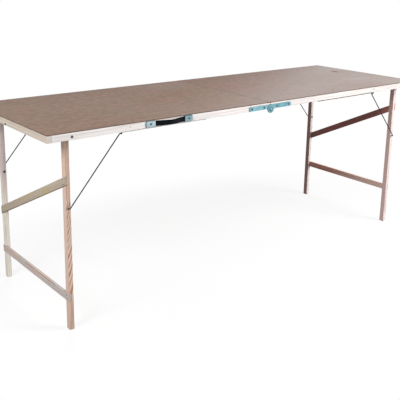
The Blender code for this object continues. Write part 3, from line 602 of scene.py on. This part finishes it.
def carved(mesh, cutters):
    # cuts the recesses out of a head and breaks their edges
    body = linked("carved", mesh)
    tools = [linked("cutter", cutter) for cutter in cutters]
    for tool in tools:
        cut = body.modifiers.new("cut", "BOOLEAN")
        cut.operation, cut.solver, cut.object = "DIFFERENCE", "EXACT", tool
    bevel = body.modifiers.new("edge", "BEVEL")
    bevel.width, bevel.segments, bevel.limit_method = 0.00012, 2, "ANGLE"
    result = settled(body)
    for tool in tools:
        bpy.data.objects.remove(tool, do_unlink=True)
    return tidyMesh(result)


def block(size, height, taper=1.0):
    # a box round the given height, whose lower face is taper times its upper one
    bm = bmesh.new()
    bmesh.ops.create_cube(bm, size=1)
    for vert in bm.verts:
        share = taper if vert.co.z < 0 else 1.0
        x, y, z = vert.co
        vert.co = (x * size[0] * share, y * size[1] * share, z * size[2] + height)
    mesh = bpy.data.meshes.new("block")
    bm.to_mesh(mesh)
    bm.free()
    return mesh


def plateMesh(name, loops, thickness, rounding):
    # a pressed plate in XY with rounded edges; the first loop is its outline, the others are holes
    curve = bpy.data.curves.new(name, "CURVE")
    curve.dimensions, curve.fill_mode = "2D", "BOTH"
    curve.extrude = thickness / 2 - rounding
    curve.bevel_depth, curve.bevel_resolution, curve.offset = rounding, 2, -rounding
    for points in loops:
        spline = curve.splines.new("POLY")
        spline.points.add(len(points) - 1)
        for point, (x, y) in zip(spline.points, points):
            point.co = (x, y, 0, 1)
        spline.use_cyclic_u = True
    return tidyMesh(settled(linked(name, curve)))


def arc(centre, radius, start, end, steps):
    angles = [start + (end - start) * i / steps for i in range(steps + 1)]
    return [(centre[0] + radius * cos(a), centre[1] + radius * sin(a)) for a in angles]


def hole(centre, radius):
    # clockwise, as a hole's loop runs
    return arc(centre, radius, 0, -2 * pi, 28)[:-1]


def addPiece(name, mesh, finish, body):
    piece = linked(name, mesh)
    dress(mesh, finishes[finish])
    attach(piece, body)
    return piece


def standIn(node, made, mesh, finish, body):
    # a finer piece in place of a CAD node, named after the node and how it is made
    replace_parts(addPiece(f"{node}_{made}", mesh, finish, body), node)


# sizes of the hinges, which their wood screws need first

hinge = {
    "metal": 0.002, "length": 0.108, "height": 0.017, "corner": 0.0032, "eye": 0.0155, "fillet": 0.004,
    "crankStart": 0.018, "crankEnd": 0.022, "offset": 0.0023, "seat": 0.0003, "rounding": 0.00035,
    "screwAt": {"inner": 0.033, "outer": 0.095}, "screwSeat": 0.0026, "screwHole": 0.0022, "rivetHole": 0.0038,
    "rib": 0.0005, "ribAt": 0.064, "ribHalfLength": 0.017, "ribHalfHeight": 0.0038,
    "slicesAlong": (0.012, 0.018, 0.019, 0.020, 0.021, 0.022, 0.045, 0.050, 0.055, 0.064, 0.073, 0.078, 0.083),
    "slicesUp": (0.0045, 0.0065, 0.0085, 0.0105, 0.0125), "eyeFoot": -0.26,
}

# wood screws with a cross recess, in the hinges and the handle's caps

woodScrew = {
    "headRadius": 0.0040, "headHeight": 0.0016, "shankRadius": 0.00175, "point": 0.0006, "threads": 9,
    "threadStart": 0.0022, "threadRise": 0.0004, "plain": 0.006, "neck": 0.0012, "recess": (0.0046, 0.0010, 0.0024),
    "recessTaper": 0.45, "depthInRail": 0.011, "spins": {"inner": 0.4, "outer": 1.1},
}


def screwMesh(seat):
    s, length = woodScrew, seat + woodScrew["depthInRail"]
    shank, head = s["shankRadius"], s["headRadius"]
    profile = [(0, -length), (shank * 0.3, -length + s["point"])]
    for i in range(s["threads"]):  # coarse rings stand for the thread
        base = -length + s["threadStart"] + i * (length - s["plain"]) / s["threads"]
        profile += [(shank * 0.72, base), (shank, base + s["threadRise"])]
    profile += [(shank * 0.9, -s["neck"]), (shank, 0.0), (head * 0.97, 0.0)] + dome(head, s["headHeight"])
    arms = [block(s["recess"], s["headHeight"], s["recessTaper"]) for _ in range(2)]
    arms[1].transform(Matrix.Rotation(pi / 2, 4, "Z"))
    return carved(turned("wood_screw", profile, 36), arms)


hingeScrew = screwMesh(hinge["screwSeat"])
for rowName, row in rows.items():
    for sideName, side in sides.items():
        for spot, fromSeam in hinge["screwAt"].items():
            node = f"{rowName}_hinge_{sideName}_{spot}_screw"
            location = (side * fromSeam, faceOf(row, hinge["screwSeat"]), table["railBottom"] + hinge["height"] / 2)
            mesh = placed(hingeScrew, location, (0, row, 0), woodScrew["spins"][spot] + side * 0.35)
            standIn(node, "cross_head", mesh, "screwZinc", f"{sideName}_half")
print("wood screws made")

# strap hinges: two pressed leaves and a rivet on each side


def leafLoops(side):
    h, right, corner, fillet = hinge, pi / 2, hinge["corner"], hinge["fillet"]
    seam, far, top = table["sectionGap"] / 2, h["length"] - corner, h["height"]
    eyeTop = acos(seam / h["eye"])
    outline = [(seam, top)] + arc((far, top - corner), corner, right, 0, 6)
    outline += arc((far, corner), corner, 0, -right, 6) + [(h["eye"] + fillet, 0.0)]
    outline += arc((h["eye"] + fillet, -fillet), fillet, right, pi, 5)[1:-1]
    outline += arc((0, 0), h["eye"], h["eyeFoot"], -pi, 22) + arc((0, 0), h["eye"], pi, pi - eyeTop, 10)[1:]
    holes = [hole((0, 0), h["rivetHole"])] + [hole((x, top / 2), h["screwHole"]) for x in h["screwAt"].values()]
    return [[(side * x, z) for x, z in loop] for loop in [outline] + holes]


def leafMesh(side, row, cranked):
    h = hinge
    mesh = plateMesh("leaf", leafLoops(side), h["metal"], h["rounding"])
    bm = bmesh.new()
    bm.from_mesh(mesh)
    slices = [((side * x, 0, 0), (1, 0, 0)) for x in h["slicesAlong"]] + [((0, z, 0), (0, 1, 0)) for z in h["slicesUp"]]
    for spot, normal in slices:  # more points, for the crank and the pressed rib
        geometry = bm.verts[:] + bm.edges[:] + bm.faces[:]
        bmesh.ops.bisect_plane(bm, geom=geometry, plane_co=spot, plane_no=normal)
    for vert in bm.verts:
        x, z, depth = vert.co
        out = h["seat"] + h["metal"] / 2
        if cranked:
            share = (h["crankEnd"] - abs(x)) / (h["crankEnd"] - h["crankStart"])
            share = 1.0 if side * x < 0 else min(1.0, max(0.0, share))
            out += h["offset"] * share * share * (3 - 2 * share)
        lengthShare = max(0.0, 1 - abs(abs(x) - h["ribAt"]) / h["ribHalfLength"])
        heightShare = max(0.0, 1 - abs(z - h["height"] / 2) / h["ribHalfHeight"])
        out += h["rib"] * min(1.0, lengthShare * 2) * heightShare * (1.0 if depth > 0 else 0.6)
        vert.co = (x, faceOf(row, out + depth), z + table["railBottom"])
    bm.to_mesh(mesh)
    bm.free()
    return tidyMesh(mesh, 40)


rivetSizes = {  # head and the dark ring under it, a painted shadow, are (radius, height) pairs
    "play": 0.0003, "tailRadius": 0.0050, "tailHeight": 0.0009, "neckRadius": 0.0035, "washerBelow": 0.00026,
    "head": ((0.0058, 0.0), (0.0060, 0.0002), (0.0059, 0.0006), (0.0052, 0.0010), (0.0044, 0.0012), (0.0036, 0.00145),
             (0.0020, 0.0015), (0, 0.0015)),
    "washer": ((0.0040, 0.0), (0.0084, 0.0), (0.0086, 0.0001), (0.0084, 0.00022), (0.0040, 0.00022), (0.0040, 0.0)),
}


def rivetMesh(seat):
    tail, wide, neck = hinge["seat"] - seat, rivetSizes["tailRadius"], rivetSizes["neckRadius"]
    inner = tail + rivetSizes["tailHeight"]
    profile = [(0, tail), (wide, tail), (wide, inner), (neck, inner), (neck, 0.0), *rivetSizes["head"]]
    return turned("rivet", profile, 44)


rivetSeat = hinge["seat"] + hinge["offset"] + hinge["metal"] + rivetSizes["play"]
rivet, shadowRing = rivetMesh(rivetSeat), turned("rivet_shadow_ring", rivetSizes["washer"], 44)
for rowName, row in rows.items():
    for sideName, side in sides.items():
        cranked = sideName == "right"
        finish = "dullPlate" if cranked else "zincPlate"
        standIn(f"{rowName}_hinge_{sideName}_leaf", "pressed", leafMesh(side, row, cranked), finish, f"{sideName}_half")
    mesh = placed(rivet, (0, faceOf(row, rivetSeat), table["railBottom"]), (0, row, 0))
    standIn(f"{rowName}_hinge_rivet", "headed", mesh, "zincPlate", "left_half")
    mesh = placed(shadowRing, (0, faceOf(row, rivetSeat - rivetSizes["washerBelow"]), table["railBottom"]), (0, row, 0))
    # a near-black ring under the rivet head: a painted shadow
    addPiece(f"{rowName}_hinge_rivet_washer", mesh, "shadowRimDark", "left_half")
print("hinges made")

# strap handle on the left section

handle = {
    "middleX": -0.4685, "height": 0.6618, "length": 0.192, "seat": 0.0003, "strapWidth": 0.0180,
    "strapThickness": 0.0035, "strapRise": 0.0130, "strapInCap": 0.031, "strapWaist": (0.10, 0.030), "bead": 0.0011,
    "beadHeight": 0.92, "groove": (0.00045, 0.70, 0.06), "capLength": 0.035, "capHeight": 0.0215,
    "capMetal": 0.0011, "capEnd": 0.0052, "capFlange": 0.0006, "capTaper": 0.0030, "capCorner": 0.0016,
    "mouthFlare": (0.00055, 0.0016), "screwDish": (0.0006, 0.0052), "crown": 0.0003, "screwSeat": 0.0059,
    "screwSunk": 0.0004,
}


def hump(value, height, width):
    return height * exp(-((value / width) ** 2))


def onHandle(x, out, up):
    return (handle["middleX"] + x, faceOf(-1, out), handle["height"] + up)


def strapSection(narrow):
    # half-round beads along both edges, and a crowned middle with two sunk lines, as (out, up) pairs
    bead, half, thick = handle["bead"], handle["strapWidth"] / 2 * narrow, handle["strapThickness"] / 2
    grooveDepth, grooveAt, grooveWidth = handle["groove"]
    edges = []
    for start, middle in ((-pi / 2, half - bead), (pi / 2, bead - half)):
        angles = [start + pi * i / 12 for i in range(13)]
        edges.append([(thick * handle["beadHeight"] * sin(a), middle + bead * cos(a)) for a in angles])
    crown = []
    for i in range(1, 16):
        up = (half - bead) * (1 - i / 8)
        share = abs(up) / half
        groove = hump(share - grooveAt, grooveDepth, grooveWidth)
        crown.append((thick * (0.90 + 0.10 * (1 - share**2)) - groove, up))
    return edges[0] + crown + edges[1]


def strapMesh():
    mouth, rise = handle["length"] / 2 - handle["capLength"], handle["strapRise"]
    end = mouth + handle["strapInCap"]
    flat = 2 * handle["seat"] + handle["strapThickness"] / 2
    bend, steps = 0.012, 60
    stations = [-end, -mouth - bend] + [mouth * (2 * i / steps - 1) for i in range(steps + 1)] + [mouth + bend, end]
    rings = []
    for x in stations:
        inside = pi * min(abs(x), mouth) / mouth
        lifted = flat + rise * (1 + cos(inside)) / 2
        slope = copysign(rise * pi / (2 * mouth) * sin(inside), -x)
        length = hypot(1, slope)
        section = strapSection(1.0 - hump(x, *handle["strapWaist"]))
        rings.append([onHandle(x - out * slope / length, lifted + out / length, up) for out, up in section])
    return loft("handle_strap_moulded", rings)


def capMesh(side):
    # a pressed cap: a domed channel over the strap's end with a flange along the rail, closed at its outer end
    h, length, flange = handle, handle["capLength"], handle["capFlange"]
    mouth, half = h["length"] / 2 - length, h["capHeight"] / 2
    height = h["strapThickness"] + 2 * h["seat"] + h["capMetal"] + 0.0001
    rings, steps = [], 22
    for i in range(steps + 1):
        along = length * i / steps
        rounding = min(1.0, (length - along) / h["capEnd"])
        fall = sqrt(max(0.0, 1 - (1 - rounding) ** 2))
        taper = h["capTaper"] * (1 - rounding) ** 2.5
        width, wall = half - 0.0001 - taper, half - 0.0010 - taper
        top = height * fall + hump(along, *h["mouthFlare"])
        dish = hump(along - length / 2, *h["screwDish"])
        corner = h["capCorner"] * max(0.15, fall)
        crown = []
        for k in range(1, 12):
            up = (wall - corner) * (2 * k / 12 - 1)
            crown.append((up, top + h["crown"] * fall * (1 - (up / wall) ** 2) - hump(up, dish, h["screwDish"][1])))
        ring = arc((corner - wall, top - corner), corner, pi, pi / 2, 6) + crown
        ring += arc((wall - corner, top - corner), corner, pi / 2, 0, 6)
        ring = [(up, max(0.0008, out)) for up, out in ring]
        rim = [(width, 0.0), (width, flange), (wall + 0.0004, 0.0007)]
        ring = [(-up, out) for up, out in rim] + ring + rim[::-1]
        rings.append([onHandle(side * (mouth + along), h["seat"] + out, up) for up, out in ring])
    shell = linked("shell", loft("cap", rings, (False, False), loop=False))
    solid = shell.modifiers.new("metal", "SOLIDIFY")
    solid.thickness, solid.offset = h["capMetal"] * 0.6, -1.0
    return tidyMesh(settled(shell), 40)


standIn("handle_strap", "moulded", strapMesh(), "strapPlastic", "left_half")
capScrew = screwMesh(handle["screwSeat"])
for sideName, side in sides.items():
    finish = "dullCap" if sideName == "right" else "brightCap"
    standIn(f"handle_{sideName}_cap", "pressed", capMesh(side), finish, "left_half")
    middle = side * (handle["length"] - handle["capLength"]) / 2
    location = onHandle(middle, handle["screwSeat"] - handle["screwSunk"], 0.0)
    mesh = placed(capScrew, location, (0, -1, 0), 0.5 + side * 0.3)
    standIn(f"handle_{sideName}_screw", "cross_head", mesh, "screwZinc", "left_half")
print("handle made")

# pivot bolts: slotted mushroom heads, threaded ends and chamfered nuts

pivot = {
    "fromEnd": 0.083, "height": 0.6595, "headRadius": 0.0042, "headHeight": 0.0021, "slot": (0.012, 0.0012, 0.0018),
    "radius": 0.0030, "seat": 0.0003, "nutInset": 0.0583, "nutRadius": 0.0055, "nutHeight": 0.0040,
    "nutChamfer": 0.0009, "chamferHeight": 0.0010, "pastNut": 0.0030, "threadPitch": 0.0010, "threadDepth": 0.00035,
    "threadLength": 0.016, "endChamfer": (0.0008, 0.7), "legFace": 0.037, "tubeRadii": (0.0033, 0.0062, 0.0065),
}
pivotX = endX - pivot["fromEnd"]


def boltMesh():
    p, radius = pivot, pivot["radius"]
    length = p["seat"] + p["nutInset"] + p["nutHeight"] + p["pastNut"]
    profile = [(0, -0.004), (radius, -0.004), (radius, 0), (p["headRadius"] * 0.97, 0)]
    head = turned("bolt_head", profile + dome(p["headRadius"], p["headHeight"], 10))
    head = carved(head, [block(p["slot"], p["headHeight"])])
    steps, levels = 32, int(p["threadLength"] / p["threadPitch"] * 8)
    smoothEnd = -(length - p["threadLength"])
    chamferHeight, chamferSlope = p["endChamfer"]
    rings = []
    for height in [-0.0035, smoothEnd] + [smoothEnd - p["threadLength"] * (i + 1) / levels for i in range(levels)]:
        phases = [(height / p["threadPitch"] - i / steps) % 1.0 for i in range(steps)]
        depth = p["threadDepth"] if height < smoothEnd else 0.0
        chamfer = max(0.0, chamferHeight - (height + length)) * chamferSlope
        rings.append(ringAt(height, [radius - depth * abs(2 * phase - 1) - chamfer for phase in phases]))
    return joined("bolt", [head, loft("shank", rings)])


def nutMesh():
    p, steps = pivot, 72
    height, chamfer, sixth = p["nutHeight"], p["chamferHeight"], pi / 3
    turns = [2 * pi * i / steps for i in range(steps)]
    flats = [p["nutRadius"] * cos(sixth / 2) / cos((turn + sixth / 2) % sixth - sixth / 2) for turn in turns]
    rings = []
    for level in (0.0, chamfer / 2, chamfer, height - chamfer, height - chamfer / 2, height):
        off = max(0.0, chamfer - level, level - height + chamfer) / chamfer
        rings.append(ringAt(level, [min(flat, p["nutRadius"] - p["nutChamfer"] * off) for flat in flats]))
    bore = [ringAt(level, [p["radius"] + 0.0003] * steps) for level in (height, 0.0)]
    return loft("nut", rings + bore + [rings[0]], (False, False))


def spacerMesh():
    length = pivot["legFace"] - table["railThickness"] - 2 * pivot["seat"]
    bore, face, outer = pivot["tubeRadii"]
    half = [(bore, 0), (face, 0), (outer, -0.0003)]
    return turned("spacer", half + [(radius, -length - height) for radius, height in half[::-1]] + half[:1])


bolt, nut, spacer = boltMesh(), nutMesh(), spacerMesh()
for sideName, side in sides.items():
    for rowName, row in rows.items():
        fittings = (  # part, how it is made, mesh, metres inside the rail's face, facing, spin and finish
            ("bolt", "threaded", bolt, -pivot["seat"], row, 0.6 * side + row, "boltZinc"),
            ("spacer", "tube", spacer, table["railThickness"] + pivot["seat"], row, 0.0, "nutZinc"),
            ("nut", "chamfered", nut, pivot["nutInset"], -row, 0.3, "nutZinc"),
        )
        for part, made, mesh, inset, facing, spin, finish in fittings:
            mesh = placed(mesh, (side * pivotX, faceOf(row, -inset), pivot["height"]), (0, facing, 0), spin)
            standIn(f"{sideName}_{rowName}_pivot_{part}", made, mesh, finish, f"{sideName}_half")
print("pivots made")

# wire stays and guides: bright new wire on the left, dull wire elsewhere

wireFinishes = {
    "left_stay": "drawnWire", "left_stay_guide": "brightWire",
    "right_stay": "darkWire", "right_stay_guide": "darkWire",
}
for name, finish in wireFinishes.items():
    sideName, kind = name.split("_", 1)
    for rowName in rows:
        dress(nodes[f"{sideName}_{rowName}_{kind}"].data, finishes[finish])

# catch: a notched hook on the right end, a pin on the left end

catch = {
    "metal": 0.0015, "rounding": 0.00025, "halfWidth": 0.0045, "reach": 0.0176, "hole": 0.0023, "y": 0.00535,
    "screwHeight": 0.662, "pinHeight": 0.654, "seat": 0.0003, "headRadius": 0.0036, "headHeight": 0.0016,
    "slot": (0.010, 0.0010, 0.0014), "pinRadius": 0.0020, "point": ((0, -0.0131), (0.0008, -0.0125)),
    "pointEnd": -0.0101,
}


def hookMesh():
    c, right = catch, pi / 2
    reach, half, notch = c["reach"], c["halfWidth"], c["hole"]
    outline = arc((0, 0), half, pi, 0, 14) + arc((0, -reach), half, 0, -right, 8)
    outline += arc((-0.0005, -reach), half, -right, -pi + 0.55, 5) + [(-half + 0.0003, -reach - notch)]
    outline += arc((0, -reach), notch, -right, right, 12) + [(-half, -reach + notch)]
    mesh = plateMesh("catch_hook_pressed", [outline, hole((0, 0), notch)], c["metal"], c["rounding"])
    mesh.transform(Matrix.Rotation(right, 4, "Z") @ Matrix.Rotation(right, 4, "X"))
    mesh.transform(Matrix.Translation((endX + c["seat"] + c["metal"] / 2, c["y"], c["screwHeight"])))
    return mesh


shank, headRadius = catch["pinRadius"], catch["headRadius"]
profile = [*catch["point"], (shank, catch["pointEnd"]), (shank, 0), (headRadius * 0.97, 0)]
catchHead = turned("catch_pin", profile + dome(headRadius, catch["headHeight"]), 36)
slotted = carved(catchHead.copy(), [block(catch["slot"], catch["headHeight"])])
standoff = endX + 2 * catch["seat"] + catch["metal"]
standIn("catch_hook", "pressed", hookMesh(), "zincPlate", "catch")
mesh = placed(slotted, (standoff, catch["y"], catch["screwHeight"]), (1, 0, 0), 0.7)
standIn("catch_hook_pin", "slotted", mesh, "zincPlate", "right_half")
mesh = placed(catchHead, (-standoff, catch["y"], catch["pinHeight"]), (-1, 0, 0))
standIn("catch_pin", "domed", mesh, "boltZinc", "left_half")
print("catch made")

# pins in the boards, nails in the corners and slats, push-on washers on the stays' pins

pins = {"radius": 0.0013, "proud": 0.00025, "inset": 0.008, "pitch": 0.15, "wander": (0.0012, 0.001)}
nails = {"radius": 0.0019, "proud": 0.0003, "cornerHeights": (0.6548, 0.6662), "step": (0.0022, 0.0062)}
slatHeights = {"lower_stretcher": 0.025, "diagonal_brace": 0.0302}  # upright, over a slat's own thickness


def nailHead(look):
    radius, proud = look["radius"], look["proud"]
    profile = [(0, -0.0030), (radius * 0.5, -0.0030), (radius * 0.5, -0.0002), (radius, -0.0002), (radius, proud * 0.6),
               (radius * 0.92, proud), (radius * 0.55, proud * 0.8), (0, proud * 0.75)]
    return turned("nail", profile, 20)


def pinSpots(side):
    # one pin every pitch along the four edges, a little out of line, as by hand
    inset, (long, short) = pins["inset"], pins["wander"]
    inner, outer = table["sectionGap"] / 2 + inset, endX - inset
    front, back = faceOf(-1, -inset), faceOf(1, -inset)
    lengthSteps, depthSteps = round((outer - inner) / pins["pitch"]), round((back - front) / pins["pitch"])
    spots = []
    for i in range(lengthSteps + 1):
        x = side * (inner + (outer - inner) * i / lengthSteps)
        spots += [(x, front + long * sin(5 * i + side)), (x, back + long * cos(3 * i + side))]
    for i in range(1, depthSteps):
        y = front + (back - front) * i / depthSteps
        spots += [(side * (inner + short * sin(4 * i)), y), (side * (outer + short * cos(2 * i)), y)]
    return spots


def slatSpots(sideName, side, slat):
    # two nails through a slat into each leg
    low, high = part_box(f"{sideName}_{slat}")
    stepY, stepZ = nails["step"]
    spots = []
    for rowName in rows:
        legLow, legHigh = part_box(f"{sideName}_{rowName}_leg")
        y = (legLow.y + legHigh.y) / 2
        share = (y - low.y) / (high.y - low.y)
        middle = (low.z + high.z) / 2 + (0.5 - share) * (high.z - low.z - slatHeights[slat])
        for step in (-1, 1):
            spots.append((low.x if side < 0 else high.x, y + step * stepY, middle + step * stepZ))
    return spots


pin, nail = nailHead(pins), nailHead(nails)
for sideName, side in sides.items():
    heads = [placed(pin, (x, y, table["boardTop"]), (0, 0, 1)) for x, y in pinSpots(side)]
    addPiece(f"{sideName}_board_pins", joined("pins", heads), "nailSteel", f"{sideName}_half")

    # the long rails are nailed through the cross rails' faces
    railMiddles = [faceOf(row, -table["railThickness"] / 2) for row in rows.values()]
    spots = [(side * endX, y, height) for y in railMiddles for height in nails["cornerHeights"]]
    heads = [placed(nail, spot, (side, 0, 0)) for spot in spots]
    addPiece(f"{sideName}_corner_nails", joined("nails", heads), "brightWire", f"{sideName}_half")

    heads = [placed(nail, spot, (side, 0, 0)) for slat in slatHeights for spot in slatSpots(sideName, side, slat)]
    addPiece(f"{sideName}_slat_nails", joined("nails", heads), "nailSteel", f"{sideName}_legs")
print("pins and nails made")

stayPin = {"height": 0.4195, "inset": 0.058, "radius": 0.0046, "bore": 0.0021}


def pushWasher():
    # a crowned spring washer with a raised rim
    r, b = stayPin["radius"], stayPin["bore"]
    profile = [(b, 0.0009), (b + 0.0004, 0.0012), (r * 0.72, 0.0006), (r, 0.0003), (r, 0.0001), (r * 0.72, 0.0001),
               (b, 0.0005), (b, 0.0009)]
    return turned("washer", profile, 36)


washer = pushWasher()
for sideName, side in sides.items():
    spots = {row: (side * pivotX, faceOf(row, -stayPin["inset"]), stayPin["height"]) for row in rows.values()}
    washers = [placed(washer, spot, (0, -row, 0)) for row, spot in spots.items()]
    addPiece(f"{sideName}_stay_washers", joined("washers", washers), "nailSteel", f"{sideName}_legs")
print("stay washers made")

# floor, light and camera

floorLook = {
    "size": 40.0, "tone": 0.93, "bounce": 0.30, "shadowShare": 0.20, "fadeShape": (0.62, 1.0, 1.0),
    "fadeStart": 0.55, "fadeEnd": 1.0,
}


def makeFloor():
    mesh, half = bpy.data.meshes.new("floor"), floorLook["size"] / 2
    corners = [(-half, -half, 0), (half, -half, 0), (half, half, 0), (-half, half, 0)]
    mesh.from_pydata(corners, [], [(0, 1, 2, 3)])
    finish, spot = newFinish("paleFloor")
    tree = finish.node_tree
    place = stretched(spot["Object"], floorLook["fadeShape"])
    away = addNode("VectorMath", {0: place}, operation="LENGTH")["Value"]
    glow = spread(away, floorLook["fadeStart"], floorLook["fadeEnd"], 1 - floorLook["shadowShare"], 1.0)
    tones = ((floorLook[key],) * 3 + (1.0,) for key in ("tone", "bounce"))
    paint, dim = (addNode("BsdfDiffuse", {"Color": tone}, tree) for tone in tones)
    white = addNode("Emission", {"Strength": 1.0}, tree)
    shown = addNode("MixShader", {0: glow, 1: paint, 2: white})
    addNode("OutputMaterial", {"Surface": addNode("MixShader", {0: seenRays(tree), 1: dim, 2: shown})})
    dress(mesh, finish)
    linked("floor", mesh)


lamps = {
    "keyRight": {"place": (2.1, -2.6, 1.5), "aim": (0.3, -0.1, 0.5), "size": (1.2, 1.2), "watts": 76},
    "keyHigh": {"place": (1.1, -1.9, 2.3), "aim": (0.3, -0.1, 0.5), "size": (1.1, 1.1), "watts": 39},
    "fillLeft": {"place": (-2.8, -0.9, 2.0), "aim": (-0.9, 0.0, 0.40), "size": (1.1, 1.1), "watts": 50},
    "fillLow": {"place": (-2.6, -0.4, 0.8), "aim": (-0.9, 0.0, 0.40), "size": (1.0, 1.0), "watts": 7},
    "backHigh": {"place": (1.4, 3.2, 3.2), "aim": (0.2, 0.1, 0.4), "size": (2.4, 2.0), "watts": 35},
    "backLow": {"place": (1.1, 3.2, 0.9), "aim": (0.1, 0.2, 0.45), "size": (1.4, 1.0), "watts": 52},
}
worldLook = {"ambient": 0.10, "seen": 1.0}


def makeLight():
    for name, lamp in lamps.items():
        data = bpy.data.lights.new(name, "AREA")
        data.shape, (data.size, data.size_y), data.energy = "RECTANGLE", lamp["size"], lamp["watts"]
        light = linked(name, data)
        light.location = lamp["place"]
        light.visible_glossy = False  # the studio's white walls are what shines in the board and the zinc
        light.rotation_euler = (Vector(lamp["aim"]) - Vector(lamp["place"])).to_track_quat("-Z", "Y").to_euler()
    world = bpy.data.worlds.new("studio")
    bpy.context.scene.world = world
    world.use_nodes = True
    world.node_tree.nodes.clear()
    strength = seenRays(world.node_tree) * (worldLook["seen"] - worldLook["ambient"]) + worldLook["ambient"]
    addNode("OutputWorld", {"Surface": addNode("Background", {"Color": (1, 1, 1, 1), "Strength": strength})})


cameraView = {
    "place": (-1.7825, -2.0698, 1.1595), "yaw": 39.045, "pitch": -14.238, "roll": 0.981, "lens": 61.28,
    "sensor": 36.0, "shiftY": -0.15,
}


def makeCamera():
    data = bpy.data.cameras.new("camera")
    data.sensor_width, data.lens, data.shift_y = (cameraView[key] for key in ("sensor", "lens", "shiftY"))
    camera = linked("camera", data)
    yaw, pitch, roll = (radians(cameraView[key]) for key in ("yaw", "pitch", "roll"))
    turn = Matrix.Rotation(-yaw, 4, "Z") @ Matrix.Rotation(pi / 2 + pitch, 4, "X") @ Matrix.Rotation(roll, 4, "Z")
    camera.matrix_world = Matrix.Translation(cameraView["place"]) @ turn
    bpy.context.scene.camera = camera


makeFloor()
makeLight()
makeCamera()
bpy.context.scene.view_settings.view_transform = "Standard"
print("floor, light and camera made")
